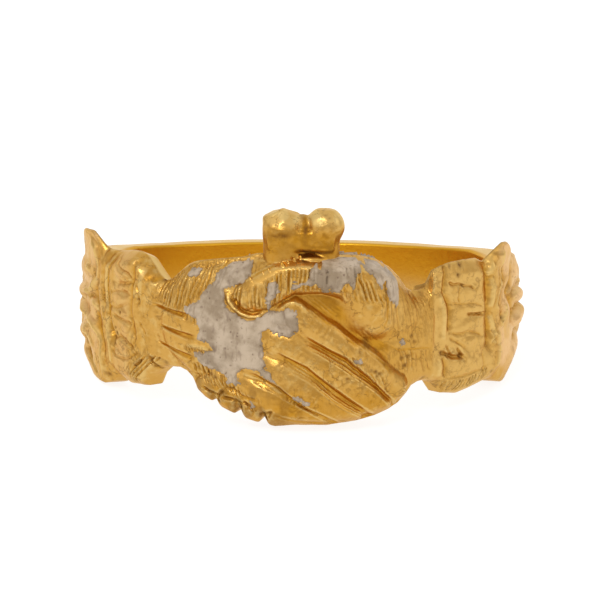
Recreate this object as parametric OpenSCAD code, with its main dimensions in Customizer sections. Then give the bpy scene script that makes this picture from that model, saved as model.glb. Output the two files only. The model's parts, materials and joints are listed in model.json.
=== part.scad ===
/* [Hoop] */
// Radius of the finger hole
bore_r = 8.5; // [8.3:0.05:8.6]
// Outer radius of the plain hoop at its back
hoop_r = 9.9; // [9.7:0.05:10]
// Outer radius of the hoop along its two edges
hoop_edge_r = 9.35; // [9.2:0.05:9.5]
// Half the width of the hoop at its back
hoop_half_w = 1.42; // [1.3:0.02:1.5]

/* [Relief] */
// Radius of the sleeve cuffs at the middle of their height
cuff_r = 9.85; // [9.75:0.05:9.95]
// Radius of the cuffs along their upper and lower edges
cuff_edge_r = 9.35; // [9.2:0.05:9.5]
// Radius of the two wrists
wrist_r = 9.75; // [9.6:0.05:9.85]
// Radius of the hollow ground between thumb and fingers
ground_r = 9.75; // [9.6:0.05:9.85]
// Radius at the foot of the grooves between the fingers
finger_root_r = 10.2; // [10:0.05:10.3]
// How far the puffs of the cuffs swell out
puff_h = 0.2; // [0.05:0.05:0.3]
// How far the leaf scrolls of the shoulders stand out
scroll_h = 0.24; // [0.1:0.02:0.3]

/* [Pellets] */
// Radius of the round pellet
pellet_r = 0.88; // [0.8:0.02:0.94]
// Radius of the faceted pellet, round its upright side
knob_r = 0.9; // [0.8:0.02:0.94]
// Radius on which the two pellets stand
pellet_ring_r = 9.5; // [9.4:0.05:9.6]

/* [Enamel] */
// Thickness of the enamel skin
enamel_t = 0.08; // [0.06:0.02:0.16]
// Air left between the enamel and the gold
enamel_gap = 0.17; // [0.1:0.01:0.2]

/* [Rest] */
// How far the ring leans back when it lies on its side
lean = 7.65; // [0:0.05:9]
// How far it leans to its right
roll = 0.2; // [-2:0.05:2]

/* [Hidden] */
gold = [0.80, 0.58, 0.22];
enamel_white = [0.75, 0.71, 0.64];

// Radius of the sheet on which the hands are drawn: x on it is view_r * sin(angle)
view_r = 10.5;
// Radius that turns an angle into a length round the shoulders
arc_r = 10;
// Angles between which the hands lie, and up to which the scrolls reach on both sides
hands_from = -42;
hands_to = 36.6;
scrolls_to = 125;

// Outline and ground form of the ring all round, from its back over its left side,
// its front at 0 and its right side to the back again.
// angle, upper edge, lower edge, radius at the upper edge, radius at the lower edge, radius of the ground,
// depth of the rounding towards both edges
SECTIONS = [
    [-180, hoop_half_w, -hoop_half_w, hoop_edge_r, hoop_edge_r, hoop_r, 1.1],
    [-150, 1.56, -1.52, hoop_edge_r, hoop_edge_r, hoop_r, 1.1],
    [-135, 1.70, -1.62, 9.4, 9.4, 9.92, 1.1],
    [-120, 1.94, -1.82, 9.4, 9.4, 9.95, 1.1],
    [-105, 2.25, -2.10, 9.5, 9.5, 9.98, 1.1],
    [-95, 2.50, -2.38, 9.7, 9.6, 10.0, 1.1],
    [-88, 2.72, -2.62, 9.95, 9.75, 10.0, 1.1],
    [-82, 2.92, -2.86, 9.98, 9.8, 10.0, 1.1],
    [-77, 3.04, -3.05, 9.95, 9.75, 9.98, 1.1],
    [-72, 3.08, -3.15, 9.8, 9.7, 9.95, 1.0],
    [-68.5, 3.10, -3.12, 9.7, 9.7, 9.9, 0.9],
    [-65, 3.14, -2.95, 9.55, 9.55, 9.85, 0.8],
    [-62, 3.18, -2.55, cuff_edge_r, cuff_edge_r, cuff_r, 0.8],
    [-55.5, 3.36, -2.80, cuff_edge_r, cuff_edge_r, cuff_r, 0.8],
    [-52, 3.38, -2.75, cuff_edge_r, cuff_edge_r, cuff_r + 0.05, 0.7],
    [-50, 3.28, -2.75, cuff_edge_r, cuff_edge_r, cuff_r + 0.1, 0.6],
    [-47.5, 2.96, -2.70, cuff_edge_r, cuff_edge_r, cuff_r + 0.1, 0.5],
    [-45.6, 2.72, -2.15, cuff_edge_r, cuff_edge_r, cuff_r + 0.1, 0.4],
    [-42.3, 2.34, -1.74, cuff_edge_r, cuff_edge_r, cuff_r + 0.1, 0.4],
    [-41.5, 2.28, -1.70, 9.3, 9.3, wrist_r, 0.6],
    [-39, 2.40, -1.64, 9.35, 9.35, wrist_r, 0.7],
    [-36, 2.80, -1.60, 9.4, 9.4, wrist_r, 0.8],
    [-33, 3.16, -1.72, 9.5, 9.5, 9.8, 0.8],
    [-30.5, 3.34, -1.98, 9.6, 9.6, 9.85, 0.7],
    [-28.8, 3.42, -2.50, 9.65, 9.65, 9.8, 0.6],
    [-26.5, 3.49, -2.80, 9.65, 9.65, ground_r, 0.6],
    [-21.6, 3.63, -3.20, 9.65, 9.65, ground_r, 0.6],
    [-16.5, 3.75, -3.56, 9.65, 9.65, ground_r, 0.6],
    [-12, 3.95, -3.76, 9.65, 9.65, ground_r, 0.6],
    [-7, 4.03, -3.92, 9.65, 9.65, ground_r, 0.6],
    [-0.7, 4.05, -3.82, 9.65, 9.65, ground_r, 0.6],
    [7, 3.95, -3.84, 9.65, 9.65, ground_r, 0.6],
    [15, 3.90, -3.68, 9.65, 9.65, ground_r, 0.6],
    [20, 3.68, -3.49, 9.65, 9.65, ground_r, 0.6],
    [24, 3.28, -3.24, 9.65, 9.65, ground_r, 0.7],
    [27, 2.82, -3.00, 9.6, 9.6, 9.75, 0.8],
    [29.8, 2.24, -2.62, 9.5, 9.5, 9.8, 0.8],
    [31.6, 2.08, -2.32, 9.4, 9.4, wrist_r, 0.7],
    [34, 2.06, -2.16, 9.35, 9.35, wrist_r, 0.7],
    [36.3, 2.14, -2.12, 9.35, 9.35, wrist_r, 0.6],
    [37.1, 2.98, -2.12, cuff_edge_r, cuff_edge_r, cuff_r + 0.1, 0.4],
    [39.7, 3.10, -2.30, cuff_edge_r, cuff_edge_r, cuff_r + 0.1, 0.5],
    [42.4, 3.15, -2.82, cuff_edge_r, cuff_edge_r, cuff_r, 0.7],
    [49, 3.20, -2.96, cuff_edge_r, cuff_edge_r, cuff_r, 0.8],
    [56, 3.10, -2.82, cuff_edge_r, cuff_edge_r, cuff_r, 0.8],
    [59.5, 2.90, -2.70, 9.45, 9.45, 9.85, 0.8],
    [62, 2.84, -2.64, 9.5, 9.5, 9.9, 0.8],
    [66, 2.84, -2.64, 9.65, 9.5, 9.92, 1.0],
    [69, 2.84, -2.88, 9.85, 9.6, 9.95, 1.2],
    [72.5, 2.82, -3.04, 9.9, 9.6, 9.96, 1.5],
    [77, 2.78, -3.02, 9.9, 9.55, 9.98, 1.7],
    [84, 2.64, -2.75, 9.85, 9.5, 9.98, 1.8],
    [95, 2.40, -2.38, 9.65, 9.5, 10.0, 1.5],
    [105, 2.20, -2.10, 9.5, 9.5, 9.98, 1.1],
    [120, 1.94, -1.82, 9.4, 9.4, 9.95, 1.1],
    [135, 1.70, -1.62, 9.4, 9.4, 9.92, 1.1],
    [150, 1.56, -1.52, hoop_edge_r, hoop_edge_r, hoop_r, 1.1],
    [180, hoop_half_w, -hoop_half_w, hoop_edge_r, hoop_edge_r, hoop_r, 1.1]
];

// Pointed leaf tips that rise from the upper edge of the shoulders and flare outwards:
// angle of the tip, its height, how far it flares, half widths towards smaller and larger angles
WINGS = [[-75.5, 0.82, 0.17, 12, 2.7], [67.6, 0.84, 0.35, 5.2, 6.5]];

wing_fullness = 0.8;

// How finely the surface is cut round the ring: from this angle on, step in degrees
COLUMN_STEPS = [
    [-180, 6], [-120, 3.2], [-63.3, 1.5], [-31, 1.55], [31, 1.5], [62.6, 3.2], [119.3, 6]
];
surface_rows = 38;

// How full the ridges are in section: 0.5 is a half circle, 1 a parabola
ridge_fullness = 0.75;

// Rounded forms of the hands. Each is a chain of rows: x, z, half width, radius of its crest
BACK_OF_HAND = [
    [-5.6, 0.7, 1.7, 10.0], [-4.4, 0.7, 2.5, 10.4], [-3.2, 0.8, 2.75, 10.6], [-2.0, 0.4, 2.0, 10.6]
];
FINGERS = [
    [[-1.2, 1.35, 0.4, 10.55], [-0.4, 1.5, 0.52, 10.72], [0.6, 0.75, 0.64, 10.8], [2.2, -0.45, 0.66, 10.8],
     [3.5, -1.45, 0.62, 10.6], [4.4, -2.0, 0.5, 10.35]],
    [[-2.0, 0.4, 0.5, 10.6], [-0.5, -0.15, 0.66, 10.8], [1.3, -1.3, 0.7, 10.82], [3.1, -2.4, 0.62, 10.6],
     [3.9, -2.7, 0.45, 10.4]],
    [[-2.5, -0.75, 0.5, 10.5], [-1.1, -1.35, 0.64, 10.72], [0.6, -2.4, 0.66, 10.75], [2.2, -3.15, 0.5, 10.5]],
    [[-3.1, -1.75, 0.4, 10.4], [-1.8, -2.3, 0.55, 10.6], [-0.3, -3.05, 0.55, 10.55], [0.9, -3.4, 0.4, 10.4]]
];
FINGERTIPS = [
    [[-4.25, -2.2, 0.5, 10.2], [-3.9, -2.0, 0.5, 10.25]],
    [[-3.3, -2.75, 0.62, 10.35], [-2.8, -2.4, 0.5, 10.4]],
    [[-2.2, -3.2, 0.6, 10.4], [-1.7, -2.9, 0.5, 10.45]],
    [[-1.0, -3.55, 0.5, 10.45], [0.2, -3.6, 0.4, 10.4]]
];
THUMB = [
    [-2.45, 1.98, 0.6, 10.72], [-1.85, 2.25, 0.82, 10.95], [-0.6, 2.85, 0.8, 10.98],
    [1.0, 3.1, 0.78, 10.98], [2.3, 3.0, 0.9, 11.0], [3.1, 2.4, 1.05, 11.0]
];
BALL_OF_THUMB = [[3.2, 2.2, 0.95, 11.05], [3.25, 1.5, 1.0, 11.15], [3.3, 1.1, 0.85, 11.05]];
PALM = [[-0.3, 2.2, 0.75, 10.3], [1.2, 1.6, 0.95, 10.35], [2.5, 0.4, 0.95, 10.25], [3.6, -0.6, 0.8, 10.1]];
RIGHT_HAND = [[3.6, -0.9, 0.9, 10.2], [4.6, -0.2, 1.5, 10.25], [5.4, 0, 1.9, 10.1], [6.1, 0, 1.8, 9.9]];
HEEL_OF_HAND = [[3.6, 1.9, 1.5, 10.8], [4.3, 1.1, 1.4, 10.55], [5.3, 0.4, 1.5, 10.15]];
HAND_FORMS = concat([BACK_OF_HAND, THUMB, BALL_OF_THUMB, PALM, RIGHT_HAND, HEEL_OF_HAND], FINGERTIPS);

// Cuts in the lower edge between the fingertips: angle, depth, half width in degrees
NOTCHES = [[-23.4, 0.24, 0.9], [-16.6, 0.4, 1.0], [-10, 0.34, 0.9]];

// Grooves between the tendons of the left wrist: x and z of both ends
TENDON_GROOVES = [[-6.4, 1.35, -4.9, 1.1], [-6.3, 0.55, -4.8, 0.1], [-6.3, -0.35, -4.9, -0.95]];
tendon_depth = 0.1;
tendon_w = 0.2;

// Upright mouldings between cuffs and shoulders: angle, height, half width in degrees
MOULDINGS = [
    [-66.3, 0.16, 1.5], [-62.9, -0.12, 1.1], [-50.9, -0.1, 0.8],
    [41.6, -0.12, 0.8], [57.6, -0.14, 1.2], [61.3, 0.14, 1.5], [64.6, -0.12, 1.2]
];

// Puffs of the cuffs: first and last angle, lower and upper edge
PUFFS = [
    [-61.5, -51.5, 1.85, 3.3], [-61.5, -51.5, 0.5, 1.85],
    [-61.5, -51.5, -0.75, 0.5], [-61.5, -51.5, -2.6, -0.75],
    [42.3, 56.6, 1.5, 3.1], [42.3, 56.6, 0, 1.5],
    [42.3, 56.6, -1.0, 0], [42.3, 56.6, -2.8, -1.0]
];

// Leaf scrolls of the shoulders, drawn for the right side and mirrored to the left.
// Rows: angle, z, half width, share of scroll_h
SCROLLS = [
    [[69.5, 3.2, 0.45, 1], [72, 2.4, 0.42, 1], [76, 1.4, 0.4, 1],
     [81, 0.9, 0.38, 1], [85, 1.3, 0.36, 0.9], [83.5, 1.9, 0.3, 0.8]],
    [[67.5, -2.5, 0.42, 1], [70, -1.6, 0.42, 1], [75.5, -0.6, 0.4, 1],
     [82, -0.2, 0.38, 1], [87, -0.7, 0.36, 0.9], [85, -1.4, 0.3, 0.8]],
    [[88, 1.9, 0.4, 0.8], [92, 1.1, 0.42, 0.9], [98, 0.6, 0.4, 0.8]],
    [[89, -1.8, 0.4, 0.8], [93, -1.0, 0.42, 0.9], [98, -0.5, 0.4, 0.8]],
    [[97, 1.4, 0.35, 0.7], [102, 0.8, 0.36, 0.8], [107, 0.4, 0.34, 0.7]],
    [[97, -1.35, 0.35, 0.7], [102, -0.75, 0.36, 0.8], [107, -0.4, 0.34, 0.7]],
    [[92, 0, 0.34, 0.8], [106, 0, 0.36, 0.9], [120, 0, 0.28, 0.4]]
];

// Height of the pellets' middles, foot of their necks inside the hands, and a block larger than either pellet
pellet_z = 5.2;
neck_foot_z = 3.3;
pellet_box = 4;
pellet_fn = 40;

bore_cut_l = 16;
bore_fn = 180;

// Enamel skins. Rows: x and z of the one edge, x and z of the other edge
ENAMEL_LEFT_HAND = [
    [-2.45, 3.40, -2.45, 3.66], [-2.65, 3.00, -3.02, 3.52], [-3.00, 2.70, -3.60, 3.30],
    [-3.30, 2.48, -4.02, 3.00], [-3.60, 2.25, -4.35, 2.50], [-3.64, 1.95, -4.72, 1.95],
    [-3.50, 1.68, -5.45, 1.27], [-3.30, 1.45, -4.92, 0.75], [-3.12, 1.30, -4.88, 0.05],
    [-2.98, 1.20, -4.64, -0.22], [-2.86, 1.14, -4.98, -0.64], [-2.70, 1.08, -4.32, -1.36],
    [-2.50, 1.04, -3.35, -1.80], [-2.25, 1.02, -2.65, -1.68], [-2.05, 1.00, -1.75, -1.50],
    [-1.90, 1.00, -1.62, -0.75], [-1.75, 1.05, -1.70, 0.35], [-1.20, 1.38, -1.10, 0.50],
    [-0.80, 1.50, -0.55, 0.40], [-0.35, 1.45, -0.20, 0.75]
];
ENAMEL_THUMB = [
    [-0.30, 2.95, -0.10, 2.55], [0.35, 3.22, 0.50, 2.48], [1.00, 3.50, 1.20, 2.44], [1.50, 3.66, 1.85, 2.40],
    [2.15, 3.66, 2.25, 2.90], [2.90, 3.60, 2.60, 3.35], [3.60, 3.30, 3.02, 3.20], [4.05, 2.90, 3.60, 2.85],
    [4.28, 2.35, 3.88, 2.40], [4.30, 1.75, 4.08, 1.62]
];
ENAMEL_FLECKS = [
    [[-1.62, 2.30, -1.45, 1.62], [-1.40, 2.62, -1.22, 1.75], [-1.02, 2.58, -0.95, 2.10]],
    [[-5.20, 2.72, -5.15, 2.50], [-4.95, 2.84, -4.90, 2.46], [-4.72, 2.88, -4.70, 2.62]],
    [[-0.25, -2.42, -0.12, -2.66], [0.00, -2.36, 0.10, -2.76], [0.25, -2.60, 0.30, -2.78]],
    [[4.40, 0.02, 4.45, -0.24], [4.56, 0.05, 4.58, -0.30], [4.72, -0.06, 4.72, -0.22]]
];

function mix(a, b, t) = a + (b - a) * t;
function clamp01(t) = max(0, min(1, t));
function bell(d) = exp(-d * d);

// One row of SECTIONS for any angle
function section_at(a, i = 0) =
    let (here = SECTIONS[i], next = SECTIONS[i + 1])
    (i >= len(SECTIONS) - 2 || a < next[0])
        ? mix(here, next, clamp01((a - here[0]) / (next[0] - here[0])))
        : section_at(a, i + 1);

// Share of the way from a to b at which p comes nearest
function along(p, a, b) = clamp01(((p - a) * (b - a)) / max(1e-6, (b - a) * (b - a)));

// Radius of a rounded ridge at p, and nothing outside it
function ridge_part(p, r0, r1, ground) =
    let (a = [r0[0], r0[1]], b = [r1[0], r1[1]], t = along(p, a, b), row = mix(r0, r1, t),
         d = norm(p - mix(a, b, t)) / row[2])
    d < 1 ? ground + (row[3] - ground) * pow(1 - d * d, ridge_fullness) : 0;
function ridge(p, chain, ground) =
    max([for (i = [0:len(chain) - 2]) ridge_part(p, chain[i], chain[i + 1], ground)]);

function groove(p, g) =
    let (a = [g[0], g[1]], b = [g[2], g[3]]) bell(norm(p - mix(a, b, along(p, a, b))) / tendon_w);

// Radius of the hands at an angle and height, without the rounded edge
function hands_r(a, z, ground) =
    let (p = [view_r * sin(a), z],
         form = max(concat([ground], [for (chain = HAND_FORMS) ridge(p, chain, ground)],
                           [for (chain = FINGERS) ridge(p, chain, finger_root_r)])),
         cuts = [for (g = TENDON_GROOVES) groove(p, g)])
    form - tendon_depth * max(cuts);

function arc_length(a) = a * arc_r * PI / 180;
function unrolled(chain) = [for (row = chain) [arc_length(row[0]), row[1], row[2], row[3]]];
function scroll_r(a, z) =
    scroll_h * max(concat([0], [for (chain = SCROLLS) ridge([arc_length(abs(a)), z], unrolled(chain), 0)]));

function puff_r(a, z) = puff_h * max(concat([0], [for (f = PUFFS)
    let (u = (a - f[0]) / (f[1] - f[0]), v = (z - f[2]) / (f[3] - f[2]))
    (u > 0 && u < 1 && v > 0 && v < 1) ? sqrt(sin(180 * u) * sin(180 * v)) : 0]));

function moulding_r(a) = [for (m = MOULDINGS) m[1] * bell((a - m[0]) / m[2])] * [for (m = MOULDINGS) 1];

// Radius of the relief at an angle and height: hands in front, cuffs beside them, shoulders behind these
function form_r(a, z, ground) =
    a > hands_from && a < hands_to ? hands_r(a, z, ground)
    : abs(a) < scrolls_to ? ground + puff_r(a, z) + moulding_r(a) + scroll_r(a, z)
    : ground;

function notch_at(a) = max([for (n = NOTCHES) n[1] * bell((a - n[0]) / n[2])]);

// Share of a wing's height reached at an angle
function wing_share(a, w) =
    let (d = a - w[0]) pow(clamp01(1 - abs(d) / (d < 0 ? w[3] : w[4])), wing_fullness);
function wing_sum(a, column) = [for (w = WINGS) w[column]] * [for (w = WINGS) wing_share(a, w)];

function upper_z(row) = row[1] + wing_sum(row[0], 1);
function lower_z(row) = row[2] + notch_at(row[0]);

// Radius of the finished surface, rounded down to the edge radius near the upper and lower edges
function surface_r(a, z) =
    let (row = section_at(a), depth = min(upper_z(row) - z, z - lower_z(row)),
         edge_r = z > 0 ? row[3] + wing_sum(a, 2) : row[4], full = form_r(a, z, row[5]))
    edge_r + (full - edge_r) * sin(90 * clamp01(depth / row[6]));

// A point of the ring from its angle, radius and height. Angle 0 is the middle of the hands, at the front
function place(a, r, z) = [r * sin(a), -r * cos(a), z];

function stretch_angles(i) =
    let (first = COLUMN_STEPS[i][0], last = i + 1 < len(COLUMN_STEPS) ? COLUMN_STEPS[i + 1][0] : 180,
         n = ceil((last - first) / COLUMN_STEPS[i][1]))
    [for (k = [0:n - 1]) first + (last - first) * k / n];
ANGLES = [for (i = [0:len(COLUMN_STEPS) - 1]) each stretch_angles(i)];

// Share of the height at a share of the rows, which lie closer together near both edges
function crowded(t) = ((1 - cos(180 * t)) / 2 + t) / 2;

// Solid body of the ring, filled inside: the finger hole is cut from it afterwards
module filled_ring() {
    inner_r = bore_r - 0.5;
    axis_z = 2;
    // How far the inner corner of the upper rim lies below the outer one: everywhere but at the back, and
    // more behind a wing, so that the wing is thin
    rim_slope = 0.3;
    plain_from = 115;
    fade = 20;
    wing_slope = 1.5;
    count = len(ANGLES);
    rows = surface_rows;
    function rim_drop(a) = wing_slope * wing_sum(a, 1) + rim_slope * clamp01((plain_from - abs(a)) / fade);
    function strip(a) =
        let (row = section_at(a), low = lower_z(row), high = upper_z(row))
        concat([place(a, inner_r, low)],
               [for (j = [0:rows - 1])
                   let (z = mix(low, high, crowded(j / (rows - 1)))) place(a, surface_r(a, z), z)],
               [place(a, inner_r, high - rim_drop(a))]);
    per = rows + 2;
    points = concat([for (a = ANGLES) each strip(a)], [[0, 0, -axis_z], [0, 0, axis_z]]);
    floor_i = count * per;
    roof_i = floor_i + 1;
    faces = [for (i = [0:count - 1])
        let (here = i * per, next = ((i + 1) % count) * per)
        each concat(
            [for (j = [0:per - 2]) each [
                [here + j, here + j + 1, next + j],
                [here + j + 1, next + j + 1, next + j]]],
            [[floor_i, here, next], [roof_i, next + per - 1, here + per - 1]])];
    polyhedron(points, faces, convexity = 10);
}

// A strip of enamel between two edges, laid over the gold
module enamel_skin(rows) {
    across = 7;
    part = 3;
    steps = (len(rows) - 1) * part;
    function edge_row(k) =
        let (i = min(len(rows) - 2, floor(k / part))) mix(rows[i], rows[i + 1], k / part - i);
    function at(row, t) = [mix(row[0], row[2], t), mix(row[1], row[3], t)];
    function point(p, lift) = let (a = asin(p[0] / view_r)) place(a, surface_r(a, p[1]) + lift, p[1]);
    function layer(lift) = [for (k = [0:steps]) let (row = edge_row(k))
        each [for (j = [0:across]) point(at(row, j / across), lift)]];
    wide = across + 1;
    under = (steps + 1) * wide;
    points = concat(layer(enamel_gap + enamel_t), layer(enamel_gap));
    skin = [for (k = [0:steps - 1], j = [0:across - 1])
        let (q = k * wide + j)
        each [
            [q, q + wide, q + 1], [q + 1, q + wide, q + wide + 1],
            [under + q, under + q + 1, under + q + wide],
            [under + q + 1, under + q + wide + 1, under + q + wide]]];
    rim = concat([for (k = [0:steps]) k * wide], [for (j = [1:across]) steps * wide + j],
                 [for (k = [1:steps]) (steps - k) * wide + across], [for (j = [1:across - 1]) across - j]);
    walls = [for (i = [0:len(rim) - 1])
        let (a = rim[i], b = rim[(i + 1) % len(rim)])
        each [[a, under + a, b], [b, under + a, under + b]]];
    polyhedron(points, concat(skin, walls), convexity = 8);
}

// A neck that carries a pellet, from inside the hands up into the pellet
module pellet_neck(r)
    translate([0, 0, neck_foot_z]) cylinder(r = r, h = pellet_z - neck_foot_z, $fn = pellet_fn);

// A ball with a small worn flat on its top
module round_pellet() {
    angle = 6.05;
    neck_r = 0.66 * pellet_r;
    flat_thickness = 1.84 * pellet_r;
    flat_tilt = 4;
    translate(place(angle, pellet_ring_r, 0)) {
        pellet_neck(neck_r);
        translate([0, 0, pellet_z]) intersection() {
            sphere(r = pellet_r, $fn = pellet_fn);
            rotate([0, flat_tilt, 0]) cube([pellet_box, pellet_box, flat_thickness], center = true);
        }
    }
}

// A stump with upright sides, whose domed head is cut to flat facets
module faceted_pellet() {
    angle = -5.4;
    neck_r = 0.97 * knob_r;
    dome_r = 1.16 * knob_r;
    // Facets: turn to the front, turn to the side, thickness of the slab that they bound
    facets = [[0, -22, 1.5], [10, 16, 1.46], [38, -4, 1.56]];
    translate(place(angle, pellet_ring_r, 0)) {
        pellet_neck(neck_r);
        translate([0, 0, pellet_z]) intersection() {
            sphere(r = dome_r, $fn = pellet_fn);
            cylinder(r = knob_r, h = pellet_box, center = true, $fn = pellet_fn);
            intersection_for (f = facets)
                rotate([f[0], f[1], 0]) cube([pellet_box, pellet_box, f[2]], center = true);
        }
    }
}

// Filling of solder between the two pellets and below them
module pellet_joint() {
    angle = 0.7;
    top_z = 5.02;
    top_r = 0.6;
    neck_r = 0.56;
    translate(place(angle, pellet_ring_r, 0)) {
        pellet_neck(neck_r);
        translate([0, 0, top_z]) sphere(r = top_r, $fn = pellet_fn);
    }
}

module at_rest() rotate([-lean, roll, 0]) children();

module gold_ring() color(gold) at_rest() difference() {
    union() {
        filled_ring();
        round_pellet();
        faceted_pellet();
        pellet_joint();
    }
    cylinder(r = bore_r, h = bore_cut_l, center = true, $fn = bore_fn);
}

module enamel_left_hand() color(enamel_white) at_rest() enamel_skin(ENAMEL_LEFT_HAND);
module enamel_thumb() color(enamel_white) at_rest() enamel_skin(ENAMEL_THUMB);
module enamel_flecks() color(enamel_white) at_rest() for (fleck = ENAMEL_FLECKS) enamel_skin(fleck);

gold_ring();
enamel_left_hand();
enamel_thumb();
enamel_flecks();
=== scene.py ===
"""A worn gold fede ring: two clasped hands with remains of white enamel, dressed over its solids."""

import json
import math
from functools import partial

import bmesh
import bpy
import numpy as np
from bpy.props import FloatProperty, FloatVectorProperty, IntProperty, PointerProperty
from mathutils import Matrix, Vector


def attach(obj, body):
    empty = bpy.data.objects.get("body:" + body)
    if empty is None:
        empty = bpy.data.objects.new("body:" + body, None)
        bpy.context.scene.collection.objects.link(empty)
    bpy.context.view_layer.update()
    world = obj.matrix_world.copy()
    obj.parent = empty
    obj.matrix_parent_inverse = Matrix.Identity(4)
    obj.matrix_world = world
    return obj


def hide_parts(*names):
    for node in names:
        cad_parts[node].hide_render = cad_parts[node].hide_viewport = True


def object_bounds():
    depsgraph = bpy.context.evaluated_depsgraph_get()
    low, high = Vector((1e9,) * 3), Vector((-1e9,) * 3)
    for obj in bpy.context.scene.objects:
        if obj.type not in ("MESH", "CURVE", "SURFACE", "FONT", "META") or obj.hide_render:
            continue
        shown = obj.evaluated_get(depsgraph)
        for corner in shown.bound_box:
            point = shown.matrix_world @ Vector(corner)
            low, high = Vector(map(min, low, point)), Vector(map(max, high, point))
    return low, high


bl_info = {
    "name": "Fede Ring",
    "version": (1, 0, 0),
    "blender": (4, 5, 0),
    "location": "3D Viewport > Sidebar > Fede Ring",
    "description": "Carves a gold ring with clasped hands, lays its enamel and sets up a soft studio",
    "category": "Add Mesh",
}

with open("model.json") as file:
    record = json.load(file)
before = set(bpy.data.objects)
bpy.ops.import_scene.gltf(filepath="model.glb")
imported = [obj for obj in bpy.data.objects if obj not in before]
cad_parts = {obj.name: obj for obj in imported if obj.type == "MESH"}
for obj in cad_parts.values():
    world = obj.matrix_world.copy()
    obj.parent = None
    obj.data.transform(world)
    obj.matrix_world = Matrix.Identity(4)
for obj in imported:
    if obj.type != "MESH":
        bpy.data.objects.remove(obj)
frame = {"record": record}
CAD_BOX = [list(corner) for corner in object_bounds()]
BORE = frame["record"]["mounts"][0]
BORE_RADIUS = BORE["dims"]["r_mm"] / 1000
AXIS = BORE["axis"]
LEAN = math.asin(AXIS[1])
ROLL = math.atan2(AXIS[0], AXIS[2])
REST_TURN = Matrix.Rotation(ROLL, 3, "Y") @ Matrix.Rotation(-LEAN, 3, "X")

# All tables are in millimetres and degrees, in the ring's own frame: its axis is upright and
# angle 0 is the middle of the hands. On the sheet of the hands, x is VIEW_R times the angle's sine.
MM = 0.001
VIEW_R = 10.5
ARC_R = 10.0
UP, DOWN = (0, 0, 1), (0, 0, -1)

# Angles where the hands end at the cuffs' hems
LEFT_HEM = -45
RIGHT_HEM = (37.3, 35.7)
# Angles over which something sets in (FROM) or ends (TO): the right hand, the torn corner of its hem,
# the rosy tint, the plain scrolls behind and their veins, fine wear, and the net of old cracks
RIGHT_HAND_FROM = (20, 26)
TORN_FROM, TORN_TO = (29, 31), (37.5, 36)
BLUSH_FROM, BLUSH_TO = (61.5, 68), (90, 80)
SCROLLS_FROM, VEINS_FROM = (88, 96), (90, 97)
WEAR_TO, AGED_TO = (130, 100), (95, 70)

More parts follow.
